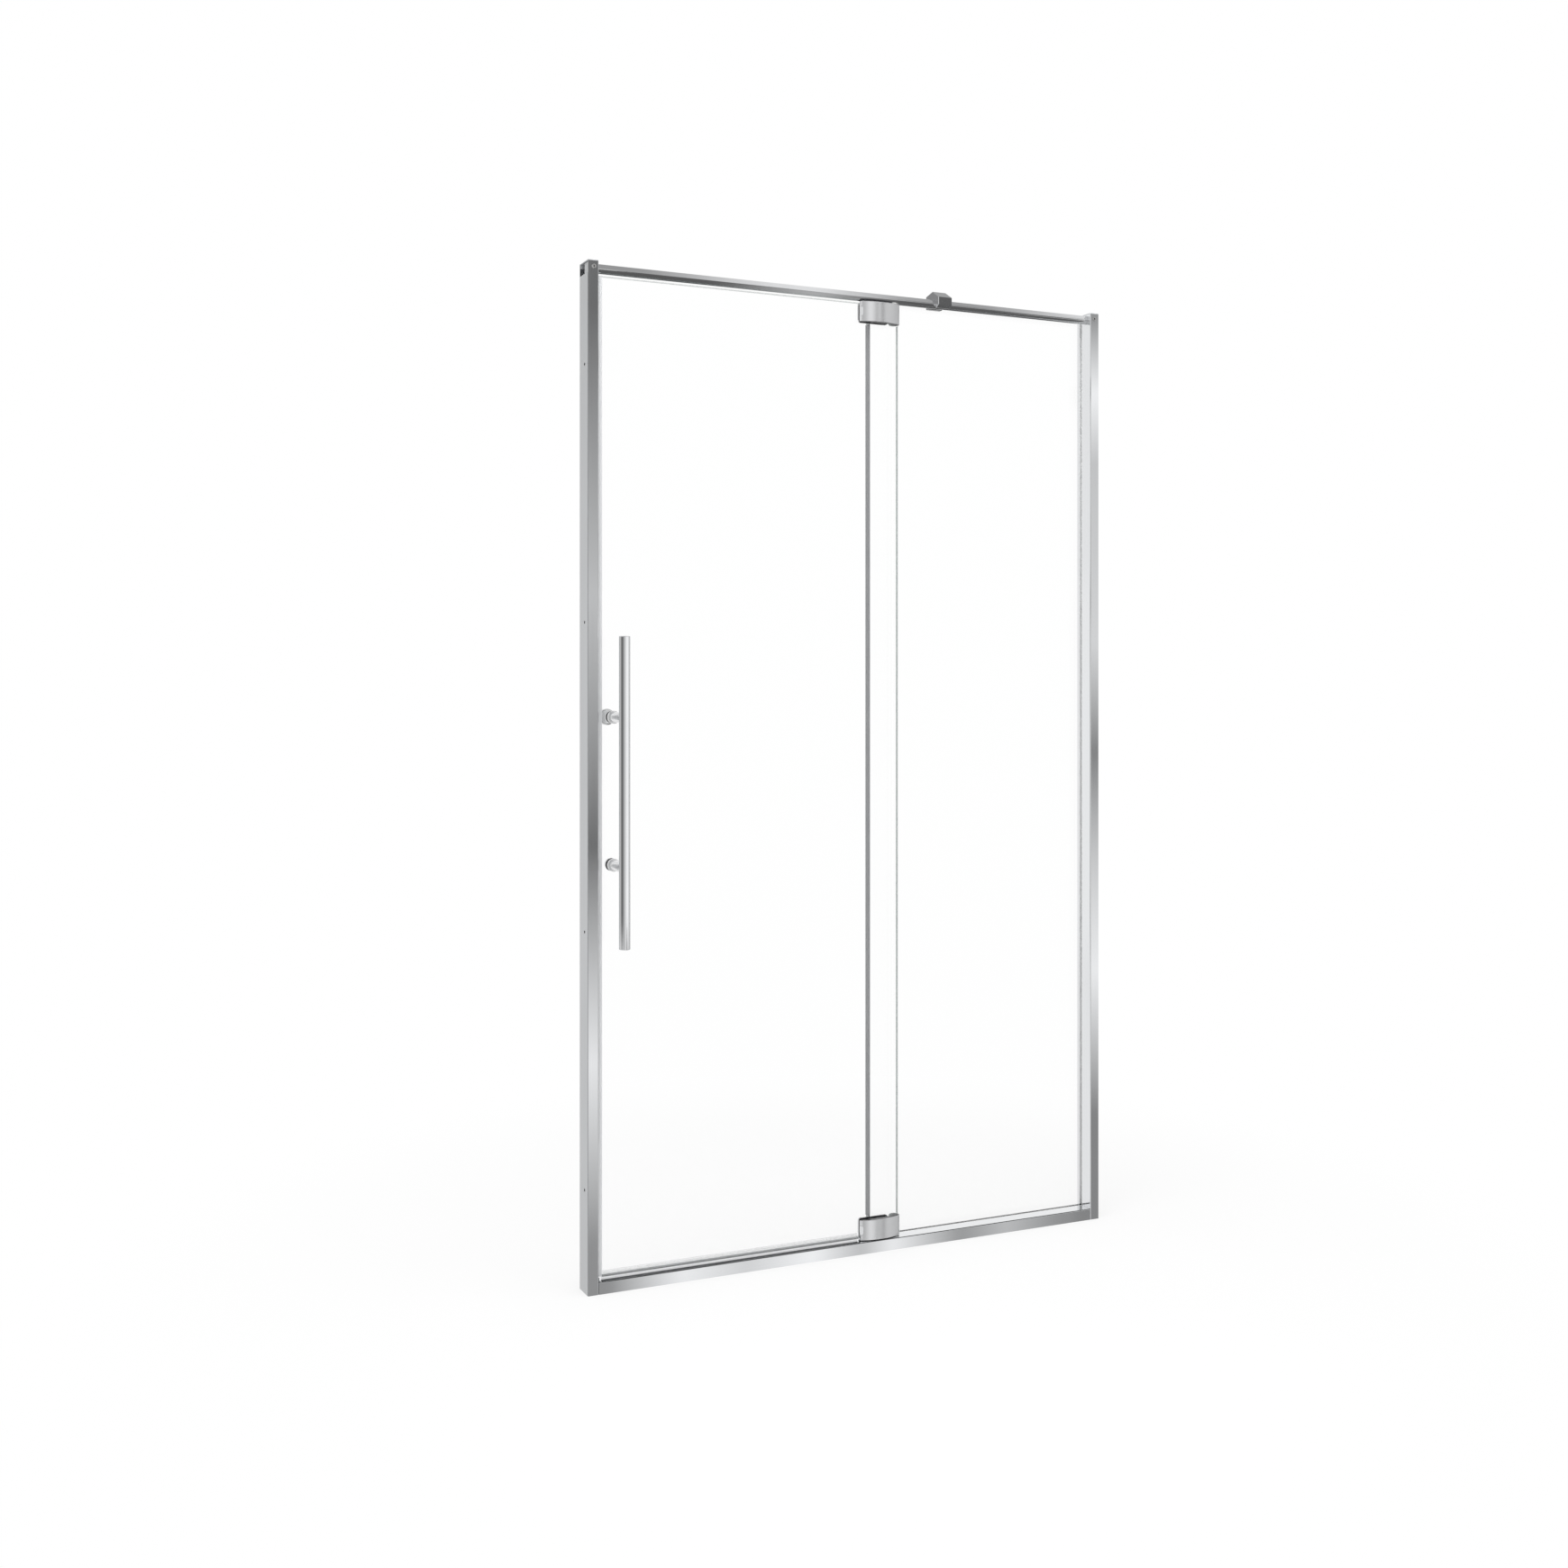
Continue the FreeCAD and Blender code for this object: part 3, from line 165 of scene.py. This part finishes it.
# Near boards that the header bar mirrors: as the sky above a dividing height and as the floor below it. Each
# row is a name, its Y, its stretches of X and Z, the soft part of its upper and lower edge, the dividing
# height and how soft that is, and the side in degrees that X = 0 is seen at from the bar, with the change per
# metre.
NEAR_BOARDS = [
    ("near_board", -3.2, (0.62, 2.78), (1.38, 2.40), 0.16, 1.87, 0.16, (15.1, 6.87)),
    ("bar_strip", -0.3, (-0.465, 0.75), (1.845, 1.919), 0.024, 1.99, 0.02, (24.75, 12.53)),
]

# What the panes mirror: plain light by height, and the floor below its foot.
PANE_LIGHT = [(-90, 0.80), (-25, 0.80), (0, 0.97), (20, 1.00), (90, 0.85)]
PANE_LIGHT_FOOT, PANE_LIGHT_SOFT = -32.0, 8.0

BACKDROP = 1.0                # level of the backdrop, as the camera sees it
SOFT_LIGHT = 0.72             # level of the light from all around
FLOOR_RADIUS, FLOOR_SIDES = 3.2, 96
FLOOR_TONES, FLOOR_ROUGHNESS = (grey(0.91), grey(0.93)), 0.9
FLOOR_WHITE = 0.75            # share of plain white in the floor near the set, as the camera sees it
FLOOR_FADE = 1.2, 0.9         # where the floor turns to plain white, and how softly
LAMP_PLACE, LAMP_AIM = (-0.5, -1.0, 3.9), (0.0, 0.0, 0.6)
LAMP_SIZE, LAMP_POWER = 2.6, 70.0
CAMERA_PLACE, CAMERA_TURN = (-1.6995, -3.1950, 1.1741), -24.47
CAMERA_LENS, CAMERA_SENSOR = 39.884, 36.0
CAMERA_SHIFT = 0.02246, -0.06167


def set_stops(elements, stops):
    """Gives a ramp its stops, each a place from 0 to 1 and a grey level."""
    while len(elements) < len(stops):
        elements.new(1.0)
    for element, (place, level) in zip(elements, stops):
        element.position = place
        element.color = grey(level)


class Wire:
    """A socket in a shader tree. Sums of wires and numbers add Math nodes."""

    def __init__(self, tree, socket=None):
        self.tree = tree
        self.socket = socket

    def node(self, kind, settings=None, inputs=None):
        """Adds a node, sets its settings, then its sockets' values or wires, and gives its first output."""
        made = self.tree.nodes.new("ShaderNode" + kind)
        for name, value in (settings or {}).items():
            if name == "stops":
                set_stops(made.color_ramp.elements, value)
            else:
                setattr(made, name, value)
        for key, value in (inputs or {}).items():
            if isinstance(value, Wire):
                self.tree.links.new(value.socket, made.inputs[key])
            else:
                made.inputs[key].default_value = value
        return Wire(self.tree, made.outputs[0])

    def out(self, name):
        """Another output of the node that this wire comes from."""
        return Wire(self.tree, self.socket.node.outputs[name])

    def math(self, operation, a, b=0.0):
        return self.node("Math", {"operation": operation}, {0: a, 1: b})

    def __add__(self, other):
        return self.math("ADD", self, other)

    __radd__ = __add__

    def __sub__(self, other):
        return self.math("SUBTRACT", self, other)

    def __rsub__(self, other):
        return self.math("SUBTRACT", other, self)

    def __mul__(self, other):
        return self.math("MULTIPLY", self, other)

    __rmul__ = __mul__

    def __pow__(self, other):
        return self.math("POWER", self, other)

    def __abs__(self):
        return self.math("ABSOLUTE", self)

    def __lt__(self, other):
        return self.math("LESS_THAN", self, other)

    def __neg__(self):
        return self * -1.0

    def blend(self, low, high):
        """A colour from low to high, by this wire's value."""
        return self.node("Mix", {"data_type": "RGBA"}, {0: self, 6: low, 7: high}).out(2)

    def step(self, middle, soft):
        """0 below a value and 1 above it, with a soft edge."""
        inputs = {0: self, 1: middle - soft / 2, 2: middle + soft / 2}
        return self.node("MapRange", {"interpolation_type": "SMOOTHSTEP"}, inputs)

    def between(self, low, high, soft):
        """1 between two values and 0 elsewhere, with soft edges."""
        return self.step(low, soft) * (1.0 - self.step(high, soft))

    def graded(self, stops):
        """A grey that follows this wire's value through stops of a value and a level."""
        low, high = stops[0][0], stops[-1][0]
        share = self.node("MapRange", inputs={0: self, 1: low, 2: high})
        places = [((value - low) / (high - low), level) for value, level in stops]
        return self.node("ValToRGB", {"stops": places}, {0: share})


# Finishes

def finish_tree(name):
    """A new material with one Principled shader; gives it, its shader and its Object coordinates."""
    material = bpy.data.materials.new(name)
    material.use_nodes = True
    shader = material.node_tree.nodes["Principled BSDF"]
    place = Wire(material.node_tree).node("TexCoord").out("Object")
    return material, shader, place


def set_shader(shader, **sockets):
    """Sets the shader's sockets by name, with spaces written as underscores."""
    for key, value in sockets.items():
        socket = shader.inputs[key.replace("_", " ")]
        if isinstance(value, Wire):
            value.tree.links.new(value.socket, socket)
        else:
            socket.default_value = value


def noise(place, scale, detail=2.0, stretch=(1.0, 1.0, 1.0)):
    """Smooth noise from 0 to 1 whose grains are longer where stretch is smaller."""
    drawn = place.node("Mapping", inputs={"Vector": place, "Scale": stretch})
    return place.node("TexNoise", inputs={"Vector": drawn, "Scale": scale, "Detail": detail})


def raised(height, depth):
    """A normal for a surface with this height pattern, depth metres from low to high."""
    return height.node("Bump", inputs={"Strength": 1.0, "Distance": depth, "Height": height})


def end_faces(place):
    """1 on faces that look up or down, and 0 on upright ones."""
    normal = place.node("NewGeometry").out("Normal")
    return abs(place.node("SeparateXYZ", inputs={0: normal}).out("Z")).step(*END_FACE)


def drawn_metal(name, colour, dull, roughness, spread, along, arris=None):
    """Extruded metal with die lines along one axis: streaks in its colour, gloss and relief. An arris is a
    stretch of Y and one of Z, and on the edge that lies in both a dark line of shade is painted."""
    material, shader, place = finish_tree(name)
    stretch = [1.0, 1.0, 1.0]
    stretch["XYZ".index(along)] = DIE_STRETCH
    lines = noise(place, DIE_LINES, detail=3.0, stretch=stretch)
    sheen = noise(place, SHEEN)
    tone = lines.blend(dull, colour)
    if arris:
        across = place.node("SeparateXYZ", inputs={0: place})
        # painted shade: a dark line along the edge that lies in both stretches
        painted_edge_shade = across.out("Y").between(*arris[0], ARRIS_SOFT) * across.out("Z").between(*arris[1], ARRIS_SOFT)
        tone = painted_edge_shade.blend(tone, ARRIS_SHADE)
    set_shader(shader, Metallic=1.0, Base_Color=tone, Normal=raised(lines, DIE_RELIEF),
               Roughness=roughness + spread * (DIE_SHARE * lines + SHEEN_SHARE * sheen))
    return material


def plated_metal(name, colour, dull, roughness, spread):
    """Bright plate with faint wipe marks and the slight waviness of a polished casting."""
    material, shader, place = finish_tree(name)
    wipes = noise(place, WIPES, detail=4.0, stretch=WIPE_STRETCH)
    waves = noise(place, WAVES)
    set_shader(shader, Metallic=1.0, Base_Color=wipes.blend(dull, colour), Normal=raised(waves, WAVE_RELIEF),
               Roughness=roughness + spread * wipes)
    return material


def block_metal(name, colour, dull, end_shade, roughness, spread):
    """Satin plate with fine wipe marks, with painted shade on the ends that look up or down, which are also
    duller.
    """
    material, shader, place = finish_tree(name)
    wipes = noise(place, BLOCK_WIPES, detail=4.0, stretch=BLOCK_STRETCH)
    ends = end_faces(place)
    # painted shade: the ends that look up or down take a dark colour
    set_shader(shader, Metallic=1.0, Base_Color=ends.blend(wipes.blend(dull, colour), end_shade),
               Roughness=roughness + spread * wipes + END_FACE_DULL * ends)
    return material


def turned_metal(name, colour, dull, roughness, spread):
    """Machined metal with fine uneven tool marks."""
    material, shader, place = finish_tree(name)
    marks = noise(place, TOOL_MARKS, detail=4.0)
    clouds = noise(place, TOOL_CLOUDS)
    set_shader(shader, Metallic=1.0, Base_Color=clouds.blend(dull, colour), Normal=raised(marks, TOOL_RELIEF),
               Roughness=roughness + spread * marks)
    return material


def moulded(name, colour, shade, roughness, spread, depth, alpha=1.0):
    """Moulded or extruded plastic and rubber with a fine grain; alpha under 1 lets light through."""
    material, shader, place = finish_tree(name)
    grain = noise(place, MOULD_GRAIN, detail=3.0)
    clouds = noise(place, MOULD_CLOUDS)
    set_shader(shader, Base_Color=clouds.blend(shade, colour), Roughness=roughness + spread * grain,
               Normal=raised(grain, depth), Alpha=alpha)
    return material


def drip_vinyl(name, colour, shade, web_shade_colour, roughness, spread):
    """Clear vinyl with painted shade on its web, where it lies under the glass."""
    material, shader, place = finish_tree(name)
    grain = noise(place, MOULD_GRAIN, detail=3.0)
    clouds = noise(place, MOULD_CLOUDS)
    shaded_web = place.node("SeparateXYZ", inputs={0: place}).out("Z").between(*DRIP_WEB, DRIP_SOFT)
    # painted shade: the web under the glass takes a dark colour
    set_shader(shader, Base_Color=shaded_web.blend(clouds.blend(shade, colour), web_shade_colour),
               Roughness=roughness + spread * grain, Normal=raised(grain, VINYL_RELIEF),
               Alpha=DRIP_ALPHA[0] + DRIP_ALPHA[1] * shaded_web)
    return material


def pane_glass(name, middle):
    """Clear glass: faces that mirror a little, more at a low angle, and grey-green ground edges."""
    material, shader, place = finish_tree(name)
    depth = abs(place.node("SeparateXYZ", inputs={0: place}).out("Y") - middle)
    edge = depth < PANE_HALF - EDGE_SKIN
    facing = place.node("LayerWeight", inputs={"Blend": 0.5}).out("Facing")
    least, gain, power = PANE_MIRROR
    mirror = least + gain * facing ** power
    face = noise(place, PANE_FILM, detail=3.0).blend(*PANE_TONES)
    rim = noise(place, RIM_GRAIN).blend(*RIM_TONES)
    set_shader(shader, Base_Color=edge.blend(face, rim), Metallic=1.0 - edge, Roughness=RIM_ROUGHNESS * edge,
               Alpha=edge * (RIM_ALPHA - RIM_LESS * end_faces(place)) + (1.0 - edge) * mirror)
    return material


def finishes():
    """One material for each of the record's slots but glass, and some for pieces that differ in a slot."""
    bright = dict(colour=rgb(0.82, 0.83, 0.84), dull=rgb(0.76, 0.77, 0.785), roughness=0.025, spread=0.025)
    low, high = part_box("sill")
    # the stretch of the sill's front edge where a dark line of shade is painted
    arris = ((low.y - ARRIS_SPARE, low.y + ARRIS_BACK), (high.z - ARRIS_DROP, high.z + ARRIS_SPARE))
    return {
        "bright_aluminium": drawn_metal("bright_aluminium_upright", along="Z", **bright),
        "bright_aluminium_lying": drawn_metal("bright_aluminium_lying", along="X", arris=arris, **bright),
        "mill_aluminium": drawn_metal("mill_aluminium", rgb(0.66, 0.67, 0.68), rgb(0.55, 0.56, 0.57),
                                      roughness=0.3, spread=0.2, along="Z"),
        "chrome": plated_metal("chrome", rgb(0.88, 0.885, 0.895), rgb(0.82, 0.83, 0.845),
                               roughness=0.03, spread=0.03),
        "soft_chrome": plated_metal("soft_chrome", rgb(0.94, 0.945, 0.95), rgb(0.89, 0.895, 0.905),
                                    roughness=0.22, spread=0.05),
        # the hinge blocks' third colour is the painted shade on their ends
        "satin_chrome": block_metal("satin_chrome", rgb(0.86, 0.865, 0.875), rgb(0.81, 0.815, 0.83),
                                    rgb(0.09, 0.09, 0.095), roughness=0.17, spread=0.06),
        "stainless": turned_metal("stainless", rgb(0.62, 0.62, 0.61), rgb(0.54, 0.54, 0.535),
                                  roughness=0.22, spread=0.14),
        "brass": turned_metal("brass", rgb(0.72, 0.58, 0.32), rgb(0.62, 0.48, 0.25),
                              roughness=0.25, spread=0.15),
        "nylon": moulded("nylon", rgb(0.86, 0.86, 0.84), rgb(0.80, 0.80, 0.775),
                         roughness=0.42, spread=0.12, depth=PLASTIC_RELIEF),
        "dark_nylon": moulded("dark_nylon", rgb(0.14, 0.14, 0.145), rgb(0.10, 0.10, 0.104),
                              roughness=0.42, spread=0.12, depth=PLASTIC_RELIEF),
        "clear_seal": moulded("clear_seal", rgb(0.84, 0.85, 0.865), rgb(0.78, 0.79, 0.805),
                              roughness=0.22, spread=0.1, depth=VINYL_RELIEF, alpha=0.75),
        "wedge_vinyl": moulded("wedge_vinyl", rgb(0.92, 0.925, 0.93), rgb(0.87, 0.875, 0.88),
                               roughness=0.3, spread=0.1, depth=VINYL_RELIEF),
        # the drip seal's third colour is the painted shade on its web under the glass
        "drip_vinyl": drip_vinyl("drip_vinyl", rgb(0.92, 0.93, 0.94), rgb(0.86, 0.87, 0.88),
                                 rgb(0.24, 0.245, 0.25), roughness=0.22, spread=0.1),
        "grey_seal": moulded("grey_seal", rgb(0.30, 0.305, 0.315), rgb(0.25, 0.255, 0.265),
                             roughness=0.38, spread=0.14, depth=PLASTIC_RELIEF),
        "black_gasket": moulded("black_gasket", rgb(0.05, 0.05, 0.054), rgb(0.032, 0.032, 0.035),
                                roughness=0.5, spread=0.2, depth=RUBBER_RELIEF),
        "magnet_strip": moulded("magnet_strip", rgb(0.16, 0.15, 0.15), rgb(0.11, 0.105, 0.105),
                                roughness=0.55, spread=0.15, depth=RUBBER_RELIEF),
        "cap_plastic": moulded("cap_plastic", rgb(0.50, 0.51, 0.525), rgb(0.44, 0.45, 0.465),
                               roughness=0.3, spread=0.12, depth=PLASTIC_RELIEF),
    }


def paint_nodes(made):
    """Gives every CAD node the finish of its slot in the record, or its own."""
    for row in frame["record"]["subparts"]:
        name, slot = row["node"], row["material_slot"]
        if name in PANE_MIDDLES:
            material = pane_glass(name, PANE_MIDDLES[name])
        elif name in LYING:
            material = made[slot + "_lying"]
        else:
            material = made[OWN_FINISH.get(name, slot)]
        for holder in frame["nodes"][name].material_slots:
            holder.material = material


# Screws

def edges_of(parts):
    return [part for part in parts if isinstance(part, bmesh.types.BMEdge)]


def corners_of(parts):
    return [part for part in parts if isinstance(part, bmesh.types.BMVert)]


def open_edges(shape, height):
    """The open edges of a shape that lie at a height."""
    return [edge for edge in shape.edges
            if edge.is_boundary and all(abs(corner.co.z - height) < SAME_HEIGHT for corner in edge.verts)]


def key_ring(shape, sides, radius):
    """The outline of a driver's hole: a hexagon, or a cross from twelve sides."""
    tilt = Matrix.Rotation(math.pi / sides, 3, "Z").to_4x4()
    corners = bmesh.ops.create_circle(shape, segments=sides, radius=radius, matrix=tilt)["verts"]
    if sides == CROSS:
        bmesh.ops.scale(shape, vec=(PINCH, PINCH, 1.0), verts=corners[1::3])
    ring = list({edge for corner in corners for edge in corner.link_edges})
    cut = bmesh.ops.subdivide_edges(shape, edges=ring, cuts=TURNS // sides - 1)
    return edges_of(cut["geom"])


def screw_shape(outline, sides, key, depth):
    """A screw along Z with its face at z = 0 and a driver's hole in it: outline is its side from tip to face,
    as (radius, z) points, and key is the hole's radius."""
    shape = bmesh.new()
    points = [shape.verts.new((radius, 0.0, height)) for radius, height in outline]
    sides_up = [shape.edges.new(pair) for pair in zip(points, points[1:])]
    bmesh.ops.spin(shape, geom=points + sides_up, cent=(0, 0, 0), axis=(0, 0, 1), dvec=(0, 0, 0),
                   angle=2 * math.pi, steps=TURNS, use_merge=True)
    rim = open_edges(shape, 0.0)
    bmesh.ops.contextual_create(shape, geom=open_edges(shape, outline[0][1]))
    ring = key_ring(shape, sides, key)
    bmesh.ops.bridge_loops(shape, edges=rim + ring)
    wall = bmesh.ops.extrude_edge_only(shape, edges=ring)["geom"]
    bmesh.ops.translate(shape, vec=(0, 0, -depth), verts=corners_of(wall))
    bmesh.ops.contextual_create(shape, geom=open_edges(shape, -depth))
    bmesh.ops.recalc_face_normals(shape, faces=shape.faces[:])
    mesh = bpy.data.meshes.new("screw")
    shape.to_mesh(mesh)
    shape.free()
    return mesh


def put_screws(node, body, mesh, places, towards, finish):
    """Copies a screw to places, its face towards one side, as one piece that stands for a CAD node."""
    group = bmesh.new()
    turn = Vector((0, 0, 1)).rotation_difference(Vector(towards)).to_matrix().to_4x4()
    for place in places:
        start = len(group.verts)
        group.from_mesh(mesh)
        group.verts.ensure_lookup_table()
        bmesh.ops.transform(group, matrix=Matrix.Translation(place) @ turn, verts=group.verts[start:])
    joined = bpy.data.meshes.new(node + "_detailed")
    group.to_mesh(joined)
    group.free()
    joined.materials.append(finish)
    piece = bpy.data.objects.new(node + "_detailed", joined)
    bpy.context.scene.collection.objects.link(piece)
    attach(piece, body)
    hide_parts(node)


def evenly(low, high, half, count):
    """Middles of a row of equal pieces, each half wide to either side, from low to high."""
    return [low + half + (high - low - 2 * half) * step / (count - 1) for step in range(count)]


def grid(xs, y, zs):
    return [(x, y, z) for x in xs for z in zs]


def pan_outline(radius, head, shank, length):
    """A pan head with a rounded edge on a plain shank."""
    edge = [(out * radius, -down * head) for out, down in PAN_ROUND]
    return [(shank, -length), (shank, -head), (radius, -head)] + edge


def sunk_outline(radius, head, shank, length):
    """A countersunk head on a plain shank."""
    return [(shank, -length), (shank, -head), (radius, 0.0)]


def grub_outline(radius, length):
    """A headless screw with a small lead at its face."""
    return [(radius, -length), (radius, -GRUB_LEAD), (radius - GRUB_LEAD, 0.0)]


def add_screws(finish):
    """Screws with driver's holes in place of the plain CAD ones."""
    low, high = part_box("bar_end_screws")
    radius = (high.z - low.z) / 2
    outline = pan_outline(radius, head=0.002, shank=0.0025, length=high.y - low.y)
    mesh = screw_shape(outline, CROSS, key=0.0020, depth=0.0005)
    places = grid(evenly(low.x, high.x, radius, 2), low.y, [(low.z + high.z) / 2])
    put_screws("bar_end_screws", "frame", mesh, places, FRONT, finish)

    low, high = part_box("jamb_lock_screws")
    radius = 0.0035
    outline = pan_outline(radius, head=0.0022, shank=0.00195, length=high.y - low.y)
    mesh = screw_shape(outline, CROSS, key=0.0019, depth=0.0012)
    places = grid(evenly(low.x, high.x, radius, 2), high.y, evenly(low.z, high.z, radius, 3))
    put_screws("jamb_lock_screws", "frame", mesh, places, BACK, finish)

    low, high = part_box("hinge_screws")
    radius = 0.0055
    outline = sunk_outline(radius, head=0.0025, shank=0.003, length=high.y - low.y)
    mesh = screw_shape(outline, HEXAGON, key=0.0023, depth=0.002)
    places = grid(evenly(low.x, high.x, radius, 2), high.y, evenly(low.z, high.z, radius, 2))
    put_screws("hinge_screws", "door", mesh, places, BACK, finish)

    low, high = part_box("clamp_grub_screws")
    radius = (high.z - low.z) / 2
    mesh = screw_shape(grub_outline(radius, high.y - low.y), HEXAGON, key=0.0017, depth=0.003)
    places = grid(evenly(low.x, high.x, radius, 2), high.y, [(low.z + high.z) / 2])
    put_screws("clamp_grub_screws", "frame", mesh, places, BACK, finish)

    low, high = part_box("handle_set_screws")
    post_low, post_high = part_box("handle_posts")
    pitch = (post_high - post_low).z - (post_high - post_low).x
    radius = (high.x - low.x) / 2
    mesh = screw_shape(grub_outline(radius, high.z - low.z - pitch), HEXAGON, key=0.0014, depth=0.0025)
    places = grid([(low.x + high.x) / 2], (low.y + high.y) / 2, [low.z, low.z + pitch])
    put_screws("handle_set_screws", "door", mesh, places, DOWN, finish)


# Studio

def floor_finish():
    """Pale floor that fades into the white backdrop away from the set."""
    material, shader, place = finish_tree("floor")
    tree = material.node_tree
    set_shader(shader, Base_Color=noise(place, FLOOR_CLOUDS).blend(*FLOOR_TONES), Roughness=FLOOR_ROUGHNESS,
               Specular_IOR_Level=0.0)
    path = place.node("LightPath")
    seen = path.math("MAXIMUM", path.out("Is Camera Ray"), path.out("Is Transmission Ray"))
    far = place.node("VectorMath", {"operation": "LENGTH"}, {0: place}).out("Value")
    white = place.node("Emission", inputs={"Strength": BACKDROP})
    share = (FLOOR_WHITE + (1.0 - FLOOR_WHITE) * far.step(*FLOOR_FADE)) * seen
    mixed = place.node("MixShader", inputs={0: share, 1: Wire(tree, shader.outputs[0]), 2: white})
    tree.links.new(mixed.socket, tree.nodes["Material Output"].inputs["Surface"])
    return material


def stage_piece(name, shape, finish):
    """Makes an object of a shape that belongs to the studio and not to the set."""
    mesh = bpy.data.meshes.new(name)
    shape.to_mesh(mesh)
    shape.free()
    mesh.materials.append(finish)
    piece = bpy.data.objects.new(name, mesh)
    bpy.context.scene.collection.objects.link(piece)
    return piece


def add_floor():
    shape = bmesh.new()
    bmesh.ops.create_circle(shape, cap_ends=True, segments=FLOOR_SIDES, radius=FLOOR_RADIUS)
    floor = stage_piece("floor", shape, floor_finish())
    floor.visible_glossy = False


def near_board_finish(name, zs, soft, divide, divide_soft, sides):
    """Light that is graded along the board as the sky is above the dividing height, and as the floor is below
    it. Perfect mirrors, which the panes are, see through the board."""
    material, shader, place = finish_tree(name)
    tree = material.node_tree
    across = place.node("SeparateXYZ", inputs={0: place})
    start, change = sides
    side = start + change * across.out("X")
    light = across.out("Z").step(divide, divide_soft)
    glow = place.node("Emission", inputs={0: light.blend(side.graded(FLOOR), side.graded(SKY))})
    perfect = place.node("LightPath").out("Is Singular Ray")
    shown = (1.0 - perfect) * across.out("Z").between(zs[0] + soft / 2, zs[1] - soft / 2, soft)
    mixed = place.node("MixShader", inputs={0: shown, 1: place.node("BsdfTransparent"), 2: glow})
    tree.links.new(mixed.socket, tree.nodes["Material Output"].inputs["Surface"])
    tree.nodes.remove(shader)
    return material


def add_near_board(name, y, xs, zs, soft, divide, divide_soft, sides):
    """An upright board in front of the set that shows in metal only."""
    shape = bmesh.new()
    foot = shape.edges.new([shape.verts.new((x, y, zs[0])) for x in xs])
    risen = bmesh.ops.extrude_edge_only(shape, edges=[foot])["geom"]
    bmesh.ops.translate(shape, vec=(0, 0, zs[1] - zs[0]), verts=corners_of(risen))
    board = stage_piece(name, shape, near_board_finish(name, zs, soft, divide, divide_soft, sides))
    board.visible_camera = False
    board.visible_diffuse = False
    board.visible_transmission = False
    board.visible_shadow = False


def mirrored_studio(start):
    """What metal mirrors, the studio's floor, screens and boards, and for the panes their plain light."""
    way = start.node("TexCoord").out("Generated")
    across = way.node("SeparateXYZ", inputs={0: way})
    degrees = 180 / math.pi
    turn = start.math("ARCTAN2", across.out("X"), -across.out("Y")) * degrees
    height = start.math("ARCSINE", across.out("Z")) * degrees
    side = start.math("ARCSINE", across.out("X")) * degrees
    ways = {"turn": turn, "height": height, "side": side}
    level = side.graded(FLOOR)
    for bottom, soft, along, levels in SCREENS:
        level = height.step(bottom, soft).blend(level, ways[along].graded(levels))
    for turns, heights, soft, rise, along, levels in BOARDS:
        share = turn.between(*turns, soft) * (height - rise * (turn - MIDDLE_TURN)).between(*heights, soft)
        level = share.blend(level, ways[along].graded(levels))
    light_foot = height.step(PANE_LIGHT_FOOT, PANE_LIGHT_SOFT)
    plain = light_foot.blend(side.graded(FLOOR), height.graded(PANE_LIGHT))
    return start.node("LightPath").out("Is Singular Ray").blend(level, plain)


def studio_world():
    """White backdrop, soft even light, and the studio that metal mirrors."""
    world = bpy.data.worlds.new("studio")
    bpy.context.scene.world = world
    world.use_nodes = True
    tree = world.node_tree
    start = Wire(tree)
    path = start.node("LightPath")
    seen = path.math("MAXIMUM", path.out("Is Camera Ray"), path.out("Is Transmission Ray"))
    level = path.out("Is Glossy Ray").blend(grey(SOFT_LIGHT), mirrored_studio(start))
    tree.links.new(seen.blend(level, grey(BACKDROP)).socket, tree.nodes["Background"].inputs["Color"])


def add_lamp():
    """A wide soft lamp overhead."""
    lamp = bpy.data.lights.new("overhead", "AREA")
    lamp.shape = "DISK"
    lamp.size = LAMP_SIZE
    lamp.energy = LAMP_POWER
    holder = bpy.data.objects.new("overhead", lamp)
    holder.location = LAMP_PLACE
    holder.rotation_euler = (Vector(LAMP_AIM) - Vector(LAMP_PLACE)).to_track_quat("-Z", "Y").to_euler()
    holder.visible_glossy = False
    bpy.context.scene.collection.objects.link(holder)


def add_camera():
    """A level camera at the photograph's viewing angle."""
    lens = bpy.data.cameras.new("camera")
    lens.lens = CAMERA_LENS
    lens.sensor_width = CAMERA_SENSOR
    lens.shift_x, lens.shift_y = CAMERA_SHIFT
    camera = bpy.data.objects.new("camera", lens)
    camera.location = CAMERA_PLACE
    camera.rotation_euler = (math.radians(90), 0, math.radians(CAMERA_TURN))
    bpy.context.scene.collection.objects.link(camera)
    bpy.context.scene.camera = camera


made_finishes = finishes()
paint_nodes(made_finishes)
add_screws(made_finishes["stainless"])
add_floor()
for row in NEAR_BOARDS:
    add_near_board(*row)
studio_world()
add_lamp()
add_camera()
bpy.context.scene.view_settings.view_transform = "Standard"
